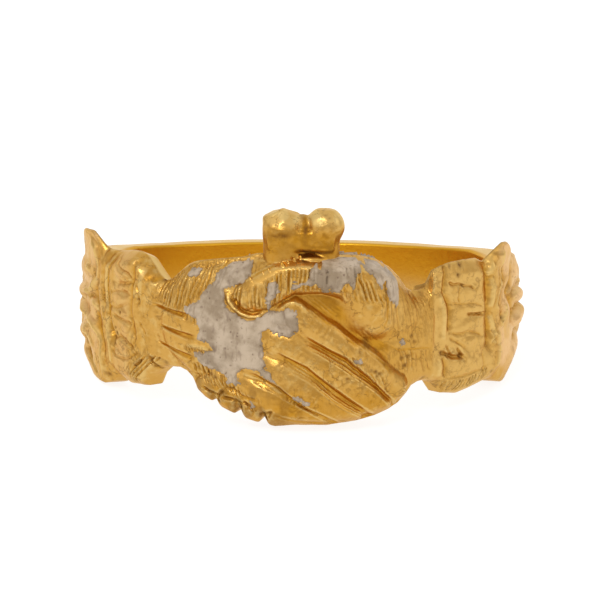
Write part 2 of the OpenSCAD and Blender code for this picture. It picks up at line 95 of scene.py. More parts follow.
# Outline and ground form all round, the hoop behind alike on both sides. Columns: angle, upper edge,
# lower edge, radius at the upper edge, radius at the lower edge, radius of the ground, depth of the
# rounding towards both edges
HOOP = [
    (120, 1.94, -1.82, 9.4, 9.4, 9.95, 1.1),
    (135, 1.70, -1.62, 9.4, 9.4, 9.92, 1.1),
    (150, 1.56, -1.52, 9.5, 9.35, 9.9, 0.9),
    (180, 1.42, -1.42, 9.5, 9.35, 9.9, 0.9),
]
SECTIONS = [(-angle, *columns) for angle, *columns in reversed(HOOP)] + [
    (-105, 2.25, -2.10, 9.5, 9.5, 9.98, 1.1),
    (-95, 2.50, -2.38, 9.7, 9.6, 10.0, 1.1),
    (-88, 2.72, -2.62, 9.92, 9.7, 9.98, 1.1),
    (-82, 2.92, -2.86, 9.95, 9.75, 9.96, 1.1),
    (-77, 3.04, -3.05, 9.95, 9.75, 9.94, 1.1),
    (-72, 3.08, -3.15, 9.8, 9.7, 9.95, 1.0),
    (-68.5, 3.10, -3.12, 9.7, 9.7, 9.9, 0.9),
    (-65, 3.14, -2.95, 9.55, 9.55, 9.85, 0.8),
    (-62, 3.18, -2.55, 9.35, 9.35, 9.85, 0.8),
    (-55.5, 3.36, -2.80, 9.35, 9.35, 9.85, 0.8),
    (-52, 3.38, -2.75, 9.35, 9.35, 9.9, 0.7),
    (-50, 3.28, -2.75, 9.35, 9.35, 9.95, 0.6),
    (-47.5, 2.96, -2.70, 9.35, 9.35, 9.92, 0.5),
    (-45.6, 2.72, -2.15, 9.35, 9.35, 9.88, 0.4),
    (-42.3, 2.34, -1.74, 9.35, 9.35, 9.8, 0.4),
    (-41.5, 2.28, -1.70, 9.3, 9.3, 9.75, 0.6),
    (-39, 2.40, -1.64, 9.35, 9.35, 9.75, 0.7),
    (-36, 2.80, -1.60, 9.4, 9.4, 9.75, 0.8),
    (-33, 3.16, -1.72, 9.5, 9.5, 9.8, 0.8),
    (-30.5, 3.34, -1.98, 9.6, 9.6, 9.85, 0.7),
    (-28.8, 3.42, -2.50, 9.65, 9.65, 9.8, 0.6),
    (-26.5, 3.49, -2.80, 9.65, 9.65, 9.75, 0.6),
    (-21.6, 3.63, -3.20, 9.65, 9.65, 9.75, 0.6),
    (-16.5, 3.75, -3.56, 9.65, 9.65, 9.75, 0.6),
    (-12, 3.95, -3.76, 9.65, 9.65, 9.75, 0.6),
    (-7, 4.03, -3.92, 9.65, 9.65, 9.75, 0.6),
    (-0.7, 4.05, -3.82, 9.65, 9.65, 9.75, 0.6),
    (7, 3.95, -3.84, 9.65, 9.65, 9.75, 0.6),
    (15, 3.90, -3.68, 9.65, 9.65, 9.75, 0.6),
    (20, 3.68, -3.49, 9.65, 9.65, 9.75, 0.6),
    (24, 3.28, -3.24, 9.65, 9.65, 9.75, 0.7),
    (27, 2.82, -3.00, 9.6, 9.6, 9.75, 0.8),
    (29.8, 2.24, -2.62, 9.5, 9.5, 9.8, 0.8),
    (31.6, 2.08, -2.32, 9.4, 9.4, 9.8, 0.7),
    (34, 2.06, -2.16, 9.5, 9.35, 9.86, 0.6),
    (36.1, 2.2, -2.12, 9.6, 9.35, 9.9, 0.5),
    (36.7, 2.98, -2.12, 9.8, 9.35, 9.92, 0.4),
    (39.7, 3.14, -2.30, 9.82, 9.35, 9.92, 0.5),
    (42.4, 3.20, -2.82, 9.8, 9.35, 9.9, 0.7),
    (49, 3.24, -2.96, 9.65, 9.35, 9.88, 0.8),
    (56, 3.12, -2.82, 9.55, 9.35, 9.85, 0.8),
    (59.5, 2.90, -2.70, 9.5, 9.45, 9.85, 0.8),
    (62, 2.84, -2.64, 9.5, 9.5, 9.9, 0.8),
    (66, 2.84, -2.64, 9.65, 9.5, 9.92, 1.0),
    (69, 2.84, -2.88, 9.85, 9.6, 9.95, 1.2),
    (72.5, 2.82, -3.04, 9.9, 9.6, 9.96, 1.5),
    (77, 2.78, -3.02, 9.85, 9.5, 9.88, 1.7),
    (84, 2.64, -2.75, 9.8, 9.45, 9.84, 1.8),
    (95, 2.40, -2.38, 9.65, 9.5, 9.9, 1.5),
    (105, 2.20, -2.10, 9.5, 9.5, 9.98, 1.1),
] + HOOP

# Leaf tips above the shoulders: angle of the tip, height, flare, level part before and after the tip,
# fall before and after it, all but height and flare in degrees
WINGS = [(-76, 0.8, 0.27, 3.4, 3.8, 10, 5), (67.2, 0.79, 0.33, 0.8, 0.8, 5.5, 6)]

# Cuts in the lower edge between the fingertips: angle, depth, half width in degrees
NOTCHES = [(-23.4, 0.24, 0.9), (-16.6, 0.4, 1.0), (-10, 0.34, 0.9)]

# Flat facets of the pellets: turn to the front, turn to the side, distance from the middle
BALL_FACETS = [(0, 4, 0.78), (50, 18, 0.83), (68, -42, 0.83), (20, 48, 0.84), (96, 8, 0.83), (30, -25, 0.84),
               (75, 60, 0.84)]
STUMP_FACETS = [(0, -24, 0.76), (6, 24, 0.74), (48, -16, 0.72), (40, 30, 0.74), (70, 40, 0.8),
                (100, -8, 0.84), (-30, 6, 0.82)]
# Sides of the solder between the pellets, in the same columns
SOLDER_BLOCK = [(90, 0, 0.7), (-90, 0, 0.7), (0, 90, 1.48), (0, -90, 1.56), (0, 0, 0.5), (180, 0, 0.42)]
# Level of the pellets' foot, and how far from the middle their wear reaches, across and round the ring
FOOT_LEVEL = 3.5
PELLETS_REACH, PELLETS_ANGLE = 2.2, 20
# Dark spots on the round pellet: x, z, half width
PELLET_SPOTS = [(1.02, 5.8, 0.1), (1.2, 5.68, 0.07)]

# How finely the surface is cut: from this angle on, step in degrees, rows from edge to edge
CUTS = [
    (-180, 3.0, 26),
    (-120, 1.5, 60),
    (-95, 0.9, 84),
    (-71, 0.32, 126),
    (-45, 0.3, 156),
    (37, 0.36, 126),
    (71, 0.9, 80),
    (95, 1.5, 60),
    (120, 3.0, 26),
]
# Points over each rim and through the finger hole, as shares of the way, the bore's worn edge, and how
# far the upper rim falls towards the hole
RIM_SHARES = (0.25, 0.5, 0.78, 0.92)
BORE_SHARES = (0, 0.02, 0.2, 0.4, 0.6, 0.8, 0.98, 1)
BORE_EDGE = 0.07
RIM_FALL = 0.3
# A volume in cubic metres under which a piece counts as lost, and the most triangles of one piece
SMALLEST_VOLUME = 1e-10
MOST_TRIANGLES = 200000

# Rounded forms of the hands, each a chain of rows: x, z, half width, radius of its crest. The fingers,
# the thumb and its ball fall away at radii of their own, the other forms at the ground
FINGER_BASE, THUMB_BASE, BALL_BASE = 9.9, 10.3, 10.2
BACK_OF_HAND = [(-5.6, 0.7, 1.7, 10.0), (-4.4, 0.7, 2.5, 10.4), (-3.2, 0.8, 2.75, 10.6),
                (-2.0, 0.4, 2.0, 10.6)]
FINGERS = [
    [(-1.2, 1.35, 0.4, 10.55), (-0.4, 1.5, 0.52, 10.72), (0.6, 0.75, 0.64, 10.8), (2.2, -0.45, 0.66, 10.8),
     (3.5, -1.45, 0.62, 10.6), (4.4, -2.0, 0.5, 10.35)],
    [(-2.0, 0.4, 0.5, 10.6), (-0.5, -0.15, 0.66, 10.8), (1.3, -1.3, 0.7, 10.82), (3.1, -2.4, 0.62, 10.6),
     (3.9, -2.7, 0.45, 10.4)],
    [(-2.5, -0.75, 0.5, 10.5), (-1.1, -1.35, 0.64, 10.72), (0.6, -2.4, 0.66, 10.75), (2.2, -3.15, 0.5, 10.5)],
    [(-3.1, -1.75, 0.4, 10.4), (-1.8, -2.3, 0.55, 10.6), (-0.3, -3.05, 0.55, 10.55), (0.9, -3.4, 0.4, 10.4)],
]
FINGERTIPS = [
    [(-4.35, -2.3, 0.75, 10.12), (-3.7, -1.9, 0.8, 10.25)],
    [(-3.35, -2.8, 0.8, 10.22), (-2.8, -2.3, 0.8, 10.35)],
    [(-2.2, -3.15, 0.8, 10.3), (-1.7, -2.7, 0.8, 10.42)],
    [(-1.0, -3.4, 0.85, 10.4), (0.2, -3.4, 0.8, 10.42)],
]
THUMB = [(-2.5, 2.07, 0.66, 10.8), (-1.85, 2.35, 0.9, 10.95), (-0.6, 3.1, 0.85, 10.98),
         (1.0, 3.3, 1.0, 10.98), (2.3, 3.1, 1.15, 11.0), (3.0, 2.5, 1.2, 11.02)]
BALL_OF_THUMB = [(2.9, 2.7, 1.5, 11.0), (2.95, 2.0, 1.35, 11.08), (3.05, 1.5, 1.2, 11.08),
                 (3.3, 1.1, 1.0, 10.95)]
PALM = [(-0.3, 2.2, 0.75, 10.3), (1.2, 1.6, 0.95, 10.38), (2.5, 0.4, 0.95, 10.3), (3.6, -0.6, 0.8, 10.15)]
RIGHT_HAND = [(3.6, -0.9, 0.9, 10.2), (4.6, -0.2, 1.5, 10.25), (5.4, 0, 1.9, 10.1), (6.1, 0, 1.8, 9.9)]
HEEL_OF_HAND = [(3.6, 1.9, 1.5, 10.8), (4.3, 1.1, 1.4, 10.55), (5.3, 0.4, 1.5, 10.15)]

# Carved lines of the hands, as x and z
FINGER_CREST = [(-0.92, 1.64), (-0.70, 1.83), (-0.53, 1.90), (-0.29, 1.94), (-0.06, 1.82), (0.26, 1.50),
                (0.66, 1.18), (1.02, 0.93), (1.44, 0.72), (1.84, 0.29), (2.24, -0.09), (2.87, -0.32),
                (3.23, -0.62), (3.83, -1.39), (4.59, -2.06)]
# Grooves between the fingers, painted with shade: upper edge, lower edge, depth, fine ridges in it
FINGER_GROOVES = [
    ([(-0.13, 0.70), (0.66, 0.18), (1.38, -0.23), (2.00, -0.53), (2.48, -0.99), (3.04, -1.47), (3.44, -1.90),
      (4.20, -2.64), (4.7, -3.1)],
     [(-0.51, 0.42), (0.00, -0.07), (0.67, -0.47), (1.38, -0.88), (2.01, -1.34), (2.65, -1.78), (3.28, -2.25),
      (3.84, -2.78), (4.3, -3.2)], 0.25, 4),
    ([(-1.70, -0.25), (-1.34, -0.27), (-0.97, -0.33), (-0.51, -0.56), (0.28, -0.92), (0.68, -1.29),
      (1.15, -1.66), (1.71, -2.07), (2.34, -2.58), (3.06, -3.06), (3.7, -3.5)],
     [(-1.70, -0.62), (-1.33, -0.72), (-0.78, -1.01), (-0.50, -1.26), (0.29, -1.73), (0.92, -2.26),
      (1.55, -2.80), (2.03, -3.10), (2.51, -3.32), (3.2, -3.75)], 0.23, 5),
    ([(-2.84, -1.37), (-2.58, -1.28), (-2.07, -1.33), (-1.62, -1.57), (-0.96, -1.89), (-0.49, -2.32),
      (0.30, -2.88), (1.09, -3.25), (1.65, -3.55), (2.2, -3.85)],
     [(-2.82, -1.60), (-2.45, -1.77), (-1.89, -2.01), (-1.15, -2.32), (-0.59, -2.65), (0.30, -3.09),
      (1.10, -3.59), (1.6, -3.9)], 0.2, 4),
]
THUMB_CREST = [(-3.12, 2.49), (-2.69, 2.78), (-2.26, 2.80), (-1.94, 3.04), (-1.69, 3.20), (-1.37, 3.33),
               (-1.12, 3.47), (-0.84, 3.57), (-0.63, 3.69), (-0.10, 3.83), (0.54, 3.87)]
# Form of a bead on that crest: along it, across it, outwards
BEAD_FORM = (0.7, 1.0, 1.9)
THUMB_EDGE = [(-3.18, 1.98), (-2.86, 1.85), (-2.64, 1.60), (-2.35, 1.48), (-2.06, 1.49), (-1.70, 1.60),
              (-1.39, 1.87), (-1.05, 2.07), (-0.79, 2.26), (-0.37, 2.47), (0.13, 2.47), (0.65, 2.47),
              (1.22, 2.33), (1.65, 2.20), (1.96, 1.83), (2.20, 1.41), (2.44, 1.00), (2.75, 0.70),
              (3.22, 0.48), (3.69, 0.29), (3.94, 0.12)]
CRESCENT = [(-3.40, 2.25), (-3.24, 1.85), (-3.00, 1.58), (-2.72, 1.36), (-2.35, 1.22), (-1.96, 1.26),
            (-1.68, 1.48)]

# Narrow cuts on the hands, painted with shade that darkens with their depth: line, width, depth
HAND_CREASES = [
    ([(-3.23, 1.94), (-2.90, 1.90), (-2.83, 1.67), (-2.60, 1.47), (-2.27, 1.38), (-1.90, 1.42),
      (-1.65, 1.58)], 0.06, 0.12),
    ([(-3.2, 2.62), (-2.71, 2.93), (-2.26, 3.0), (-1.94, 3.22), (-1.5, 3.45), (-1.1, 3.62)], 0.06, 0.06),
    ([(3.55, 0.75), (3.74, 1.1), (3.72, 1.9), (3.6, 2.3)], 0.05, 0.04),
    ([(-1.28, -3.23), (-0.82, -3.40), (-0.22, -3.55), (0.41, -3.62), (1.2, -3.68)], 0.06, 0.07),
    ([(-4.62, -2.22), (-4.30, -2.41), (-3.88, -2.53), (-3.58, -2.24)], 0.07, 0.16),
    ([(-3.69, -2.61), (-3.24, -2.65), (-2.71, -2.81)], 0.07, 0.14),
    ([(-2.71, -2.81), (-2.56, -2.80), (-2.33, -2.98)], 0.05, 0.14),
    ([(-2.60, -3.09), (-2.45, -3.02), (-2.28, -3.05), (-2.2, -3.2), (-2.23, -3.35)], 0.04, 0.08),
    ([(-1.92, -3.27), (-1.60, -3.20), (-1.36, -3.13), (-1.54, -3.52)], 0.07, 0.16),
    ([(-3.88, -2.53), (-3.92, -2.70), (-3.90, -2.89)], 0.06, 0.16),
    ([(-2.80, -2.81), (-2.84, -3.06), (-2.74, -3.2)], 0.06, 0.18),
    ([(-1.72, -3.2), (-1.68, -3.34), (-1.61, -3.6)], 0.06, 0.18),
    ([(-3.41, -2.13), (-2.96, -2.24), (-2.64, -2.49), (-1.9, -2.62)], 0.07, 0.1),
    ([(3.95, -0.14), (4.5, -0.45), (4.9, -0.42), (6.2, -0.5)], 0.06, 0.03),
]
# Raised narrow welts on the hands, painted paler as a highlight: line, width, height
HAND_WELTS = [
    (CRESCENT, 0.10, 0.15),
    ([(-1.0, 1.62), (-0.70, 1.86), (-0.53, 1.93), (-0.29, 1.95), (-0.06, 1.85), (0.26, 1.53)], 0.09, 0.12),
    ([(-5.35, -0.40), (-4.93, -0.34), (-4.50, -0.38), (-4.13, -0.50)], 0.14, 0.1),
    ([(-2.84, -1.40), (-2.4, -1.5), (-1.9, -1.66), (-1.3, -1.98), (-0.75, -2.35)], 0.06, 0.05),
]
# Wedge cuts between the tendons of the left wrist, painted with shade: both ends as x and z, widths there,
# depth
TENDON_CUTS = [
    ((-7.3, 1.22), (-5.0, 0.93), 0.06, 0.2, 0.14),
    ((-6.9, 0.36), (-4.7, -0.06), 0.05, 0.24, 0.16),
    ((-7.1, -0.45), (-4.8, -1.02), 0.05, 0.22, 0.15),
]
# Areas of cut strokes on the hands: line along the middle, half width, spacing, slant, depth
STROKE_BANDS = [
    ([(-6.3, 2.1), (-5.4, 2.2), (-4.6, 2.7), (-3.6, 3.4)], 0.85, 0.19, -0.2, 0.08),
    ([(-6.2, 1.6), (-5.4, 1.4), (-5.0, 1.1)], 0.5, 0.21, -0.2, 0.09),
    ([(-2.5, 2.0), (-1.8, 2.2), (-1.1, 2.6), (-0.2, 3.0), (1.2, 3.0), (2.2, 3.1)], 0.6, 0.18, -0.05, 0.14),
    ([(2.1, 2.6), (2.8, 2.45), (3.4, 2.4)], 0.55, 0.2, 0.3, 0.09),
    ([(4.3, 1.8), (4.8, 1.0), (5.6, 0.8), (6.2, 0.7)], 1.1, 0.23, 0.2, 0.045),
    ([(4.4, -0.8), (5.2, -1.1), (5.9, -1.0)], 0.6, 0.25, 0.3, 0.05),
    ([(-4.9, -1.35), (-4.38, -1.48), (-3.97, -1.62), (-3.45, -1.9), (-2.96, -2.24)], 0.26, 0.2, 0.1, 0.09),
    ([(2.2, -0.75), (2.9, -1.1), (3.5, -1.75), (3.9, -2.1)], 0.26, 0.2, 0.5, 0.06),
    ([(-5.3, -0.5), (-4.2, -0.5)], 0.16, 0.14, 0.1, 0.06),
    ([(0.2, 1.2), (1.5, 0.3), (3.0, -1.0), (4.0, -1.9)], 0.34, 0.33, -0.75, 0.022),
    ([(0.2, 1.9), (1.4, 1.3), (2.6, 0.2), (3.7, -0.6)], 0.5, 0.24, 1.2, 0.02),
    ([(-1.2, 0.1), (0.5, -0.9), (2.0, -2.0), (3.3, -2.9)], 0.3, 0.36, -0.75, 0.022),
    ([(-1.8, -1.1), (0, -2.2), (1.5, -3.1)], 0.3, 0.3, -0.7, 0.024),
    ([(-4.9, -1.55), (-4.2, -1.85), (-3.4, -2.1)], 0.28, 0.16, 0.5, 0.045),
    ([(-3.2, -2.15), (-2.5, -2.45), (-1.9, -2.75)], 0.25, 0.15, 0.4, 0.035),
]
# Small pits and dents: x, z, radius, depth, how dark it is, as dirt and painted shade in the dent; where the
# depth is 0 the dark is painted shade alone
HAND_PITS = [
    (2.04, -1.55, 0.09, 0.06, 0.9), (2.89, -0.01, 0.16, 0.04, 0.8), (3.04, -0.16, 0.12, 0.04, 0.7),
    (3.40, -0.38, 0.12, 0.04, 0.6), (3.1, -1.22, 0.09, 0.03, 0.7), (3.3, -1.28, 0.09, 0.03, 0.8),
    (3.5, -1.4, 0.09, 0.03, 0.7), (3.36, -1.5, 0.07, 0.03, 0.6), (4.66, -0.85, 0.1, 0.04, 0.7),
    (4.98, -0.75, 0.09, 0.04, 0.6), (4.86, -1.2, 0.1, 0.05, 0.8), (5.1, 0.18, 0.08, 0.04, 0.7),
    (5.25, -0.1, 0.08, 0.04, 0.6), (0.62, 1.05, 0.08, 0.02, 0.3), (0.82, 0.9, 0.07, 0.02, 0.3),
    (-3.9, -2.8, 0.1, 0.05, 1), (-2.78, -3.05, 0.1, 0.05, 1), (-1.68, -3.44, 0.12, 0.06, 1),
    (-4.0, -1.72, 0.1, 0.06, 0.9), (-4.2, -1.62, 0.08, 0.05, 0.7), (-2.55, -3.2, 0.05, 0.03, 0.5),
    (1.0, -1.15, 0.06, 0.02, 0.4), (-0.9, -0.9, 0.06, 0.02, 0.3), (0.2, -1.9, 0.06, 0.02, 0.3),
    (-0.5, -3.0, 0.07, 0.02, 0.3), (1.7, -0.05, 0.06, 0.02, 0.3), (5.95, -1.93, 0.08, 0.04, 0.6),
    (-4.57, -1.79, 0.09, 0.04, 0.8), (-4.26, -1.58, 0.07, 0.04, 0.8), (-4.01, -2.09, 0.06, 0.04, 0.7),
    (-3.41, -2.09, 0.08, 0.04, 0.7), (-3.11, -2.09, 0.06, 0.03, 0.6), (-3.0, -2.65, 0.07, 0.04, 0.9),
    (-2.1, -3.11, 0.06, 0.03, 0.7), (-2.45, -1.9, 0.05, 0.03, 0.6), (-0.8, -2.8, 0.05, 0.02, 0.5),
    (-3.71, -2.4, 0.05, 0.03, 0.8), (2.55, -0.35, 0.07, 0.03, 0.7), (3.75, -1.0, 0.07, 0.03, 0.6),
    (5.85, 1.92, 0.14, 0.0, 0.5),
]

# Cuffs and shoulders, as angle and z. Soft lumps: angle, z, half width, half height, height, turn in degrees
CUFF_LUMPS = [
    (-54.3, 2.95, 0.75, 0.62, 0.10, -5), (-55.9, 2.25, 0.62, 0.3, 0.13, -12),
    (-59.6, 1.55, 0.4, 0.34, 0.12, 0), (-56.8, 1.2, 0.75, 0.42, 0.14, -8), (-56.5, 0.45, 0.85, 0.32, 0.1, -4),
    (-54.6, -0.1, 0.62, 0.5, 0.13, -14), (-59.8, -0.3, 0.34, 0.3, 0.04, 0),
    (-55.0, -0.98, 0.8, 0.36, 0.12, -10), (-57.6, -1.45, 0.6, 0.34, 0.1, 8),
    (-57.5, -2.25, 0.7, 0.3, 0.1, 0), (-50.2, -2.3, 0.8, 0.35, 0.06, 10),
    (49.0, 2.65, 1.15, 0.36, 0.08, -4), (45.0, 1.8, 0.45, 0.3, 0.1, 0), (50.6, 1.75, 1.0, 0.44, 0.12, -3),
    (49.6, 0.95, 1.25, 0.3, 0.08, 0), (50.3, 0.2, 1.15, 0.38, 0.1, 2), (49.2, -0.55, 0.7, 0.26, 0.1, 4),
    (54.4, -0.6, 0.42, 0.3, 0.08, 0), (44.4, -0.35, 0.3, 0.22, 0.07, 0), (48.0, -1.55, 1.15, 0.5, 0.12, -4),
    (55.3, -1.7, 0.45, 0.6, 0.07, 0), (48.0, -2.55, 1.3, 0.3, 0.06, 0),
    (84, 1.97, 1.6, 0.5, 0.26, 0), (84, 0.75, 1.5, 0.42, 0.34, -6), (85, -0.15, 1.5, 0.48, 0.4, 12),
    (80, -1.85, 1.5, 1.0, 0.2, 6), (73, -2.3, 0.8, 0.5, 0.12, 0), (96, 1.6, 0.9, 0.5, 0.2, 10),
    (98, 0.3, 1.0, 0.5, 0.24, 0), (97, -1.2, 0.9, 0.55, 0.2, -10),
    (-84, 1.88, 1.5, 0.5, 0.2, 0), (-84, 0.78, 1.4, 0.42, 0.3, 6), (-85, 0.05, 1.2, 0.34, 0.26, -8),
    (-84, -1.05, 1.3, 0.42, 0.24, 10), (-82, -2.1, 1.0, 0.5, 0.12, 0), (-97, 1.4, 0.9, 0.5, 0.2, -10),
    (-98, 0.2, 1.0, 0.5, 0.24, 0), (-97, -1.2, 0.9, 0.55, 0.2, 10), (-70.8, -2.9, 0.7, 0.3, 0.1, 0),
    (46.2, 2.7, 0.5, 0.4, 0.05, 0), (47.0, 1.75, 0.7, 0.36, 0.07, 0), (53.5, 2.2, 0.7, 0.8, 0.06, 0),
]
# Narrow cuts, painted with shade that darkens with their depth and narrowness: line, width, depth
CUFF_CREASES = [
    ([(-60.5, 3.19), (-63.4, 2.65), (-64.6, 2.15), (-65.2, 1.53), (-64.5, 0.86), (-63.2, 0.20),
      (-62.0, -0.37), (-60.8, -0.80), (-59.7, -1.23)], 0.3, 0.17),
    ([(-62.9, 0.15), (-62.1, -0.35), (-61.2, -0.75)], 0.15, 0.14),
    ([(-49.5, 3.18), (-50.3, 2.70), (-50.3, 2.15), (-51.1, 1.58), (-51.1, 0.75), (-50.2, 0.08),
      (-49.4, -0.50), (-50.2, -0.88)], 0.13, 0.13),
    ([(-57.8, 3.07), (-58.3, 2.69), (-56.7, 2.54), (-52.9, 2.36), (-50.7, 2.14)], 0.07, 0.1),
    ([(-58.2, 1.81), (-54.8, 1.86), (-50.7, 2.05)], 0.08, 0.1),
    ([(-62.1, 1.57), (-60.4, 1.34), (-57.7, 1.50), (-53.4, 1.48), (-51.1, 1.35)], 0.07, 0.08),
    ([(-63.9, 0.60), (-57.7, 0.68), (-52.4, 1.09)], 0.07, 0.09),
    ([(-60.3, 0.37), (-57.1, 0.23), (-53.8, 0.18), (-50.7, 0.07)], 0.08, 0.11),
    ([(-60.8, -0.80), (-56.6, -0.59), (-53.3, -0.73), (-49.3, -1.00)], 0.07, 0.09),
    ([(-60.8, -1.26), (-58.6, -1.52), (-54.6, -1.60), (-51.0, -1.41), (-48.1, -1.11)], 0.08, 0.09),
    ([(-46.7, 2.97), (-46.7, 2.60), (-45.1, 2.32), (-42.2, 2.24)], 0.16, 0.13),
    ([(-49.1, 2.00), (-48.2, 1.65), (-47.8, 1.29), (-48.6, 1.04)], 0.05, 0.1),
    ([(-41.8, 2.43), (-41.5, 2.26), (-39.0, 2.26)], 0.07, 0.14),
    ([(-47.4, 0.29), (-46.2, -0.05), (-45.4, -0.26)], 0.05, 0.06),
    ([(-44.6, -1.21), (-43.5, -1.51), (-42.7, -1.81), (-42.4, -2.08)], 0.1, 0.22),
    ([(-50.6, -1.91), (-48.9, -1.68), (-46.9, -1.49)], 0.07, 0.12),
    ([(-40.3, -1.02), (-38.5, -1.12), (-37.2, -1.28)], 0.08, 0.12),
    ([(-68.9, 2.91), (-70.5, 2.08), (-71.4, 1.36), (-70.4, 0.69), (-69.5, -0.12), (-67.9, -0.86),
      (-66.4, -1.52)], 0.26, 0.16),
    ([(-84.5, 0.55), (-75.4, 0.82), (-70.4, 0.83)], 0.12, 0.16),
    ([(-84.0, -1.03), (-81.2, -1.50), (-76.4, -1.91), (-74.0, -2.30)], 0.15, 0.15),
    ([(-82.1, -1.81), (-76.9, -2.11), (-73.4, -2.47), (-71.5, -2.73)], 0.16, 0.3),
    ([(-83.4, -0.49), (-77.6, -0.54), (-74.0, -0.71)], 0.1, 0.13),
    ([(40.2, 3.31), (40.6, 2.85), (40.3, 2.26), (40.0, 1.81)], 0.12, 0.15),
    ([(40.0, 1.90), (41.8, 1.45), (42.5, 1.07), (42.2, 0.62), (42.3, 0.07)], 0.14, 0.17),
    ([(40.2, -1.00), (41.0, -1.47), (40.7, -2.02)], 0.12, 0.13),
    ([(41.4, 1.41), (46.2, 1.27), (52.4, 1.18), (56.7, 0.94)], 0.06, 0.07),
    ([(48.7, 0.76), (52.0, 0.68), (54.8, 0.62), (57.7, 0.59)], 0.065, 0.19),
    ([(41.3, 2.42), (43.5, 2.20), (45.8, 2.20), (47.7, 2.07), (50.2, 2.01), (51.9, 1.84)], 0.06, 0.11),
    ([(46.1, 2.10), (45.4, 1.84), (45.4, 1.56), (46.2, 1.32)], 0.06, 0.1),
    ([(42.6, 0.06), (44.8, -0.08), (46.8, -0.12), (48.7, -0.03), (54.0, -0.24), (55.9, -0.42)], 0.06, 0.08),
    ([(42.3, -0.21), (45.3, -0.46), (47.6, -0.69), (48.8, -0.86)], 0.08, 0.08),
    ([(39.5, -0.80), (41.6, -0.98), (43.8, -1.12), (47.7, -1.20)], 0.1, 0.18),
    ([(41.2, -0.56), (42.3, -0.81), (43.8, -1.12)], 0.07, 0.14),
    ([(45.3, -0.73), (46.5, -0.99), (48.1, -1.25)], 0.08, 0.16),
    ([(57.4, 3.04), (59.0, 2.54), (59.1, 1.85), (59.7, 1.14), (59.8, 0.44), (60.0, -0.25),
      (59.0, -0.78), (56.9, -1.10)], 0.36, 0.22),
    ([(65.5, 2.75), (66.3, 2.13), (65.7, 1.63), (64.5, 1.11), (63.3, 0.59)], 0.2, 0.24),
    ([(61.6, -0.20), (62.3, -0.68), (61.2, -0.93)], 0.1, 0.18),
    ([(65.9, 0.38), (66.7, -0.02)], 0.12, 0.18),
    ([(65.5, -0.73), (64.9, -1.03)], 0.08, 0.14),
    ([(71.6, 2.77), (72.8, 2.09), (72.9, 1.57), (69.4, 1.25), (73.1, 0.78), (75.4, 0.24),
      (72.4, -0.23)], 0.26, 0.2),
    ([(56.5, -1.18), (57.0, -1.66), (56.6, -2.11)], 0.1, 0.09),
    ([(41.7, -2.04), (47.4, -2.07), (54.2, -1.95), (59.1, -1.80)], 0.06, 0.06),
    ([(74, -0.05), (79, 0.24), (85, 0.3), (92, 0.24), (99, 0.14)], 0.17, 0.15),
    ([(73, 0.95), (78, 1.24), (84, 1.28), (91, 1.0), (98, 0.5)], 0.19, 0.15),
    ([(75, -1.2), (80, -0.84), (86, -0.76), (92, -0.5), (99, -0.2)], 0.19, 0.18),
]
# Raised lines, painted paler as a highlight: line, width, height
CUFF_WELTS = [
    ([(-60.7, 3.28), (-63.0, 2.76), (-64.9, 2.25), (-65.5, 1.54), (-64.8, 0.86), (-64.1, 0.19)], 0.14, 0.13),
    ([(-64.2, 0.3), (-63.6, -0.47), (-62.6, -1.13), (-61.8, -1.72), (-61.3, -2.16)], 0.14, 0.06),
    ([(-73.7, 3.48), (-70.8, 3.10), (-70.0, 2.66), (-69.9, 2.20), (-70.7, 1.71), (-74.5, 1.13),
      (-79.9, 0.74)], 0.15, 0.18),
    ([(-83.0, 0.13), (-78.9, -0.21), (-72.9, -0.44), (-69.4, -0.75), (-67.1, -1.20), (-66.4, -1.73),
      (-65.6, -2.22), (-66.3, -2.70)], 0.15, 0.2),
    ([(-47.1, 3.26), (-47.1, 2.71), (-47.5, 2.01), (-47.8, 1.40)], 0.16, 0.04),
    ([(-76.4, 2.47), (-77.7, 2.06), (-75.1, 1.86)], 0.14, 0.1),
    ([(-73.4, 0.61), (-70.6, 0.41), (-69.0, 0.18)], 0.12, 0.13),
    ([(-78.9, -0.58), (-80.5, -1.01), (-76.0, -1.24), (-72.8, -1.56)], 0.12, 0.12),
    ([(-47.9, 3.60), (-44.9, 3.40), (-43.0, 3.16), (-40.9, 2.80), (-38.5, 2.48)], 0.06, 0.05),
    ([(37.7, 1.9), (38.8, 1.72), (39.5, 1.34), (39.9, 0.78), (39.9, 0.14), (39.6, -0.36)], 0.17, 0.11),
    ([(38.4, -1.07), (38.7, -1.49), (38.4, -1.95)], 0.14, 0.09),
    ([(61.4, 2.96), (62.0, 2.67), (60.9, 2.42), (59.3, 2.32)], 0.12, 0.13),
    ([(60.4, 2.20), (61.0, 1.72), (61.1, 1.21), (60.6, 0.72)], 0.14, 0.18),
    ([(60.1, 0.50), (61.3, 0.01), (62.0, -0.47), (61.5, -0.97)], 0.15, 0.17),
    ([(64.9, 3.47), (65.7, 2.85), (65.8, 2.29), (65.9, 1.73), (64.7, 1.30), (63.5, 0.87),
      (63.6, 0.50)], 0.14, 0.22),
    ([(63.7, -0.34), (64.5, -1.05), (64.0, -1.64), (62.8, -2.07)], 0.16, 0.15),
    ([(67.5, 0.81), (68.3, 0.42), (66.9, 0.08), (65.0, -0.19)], 0.14, 0.16),
]
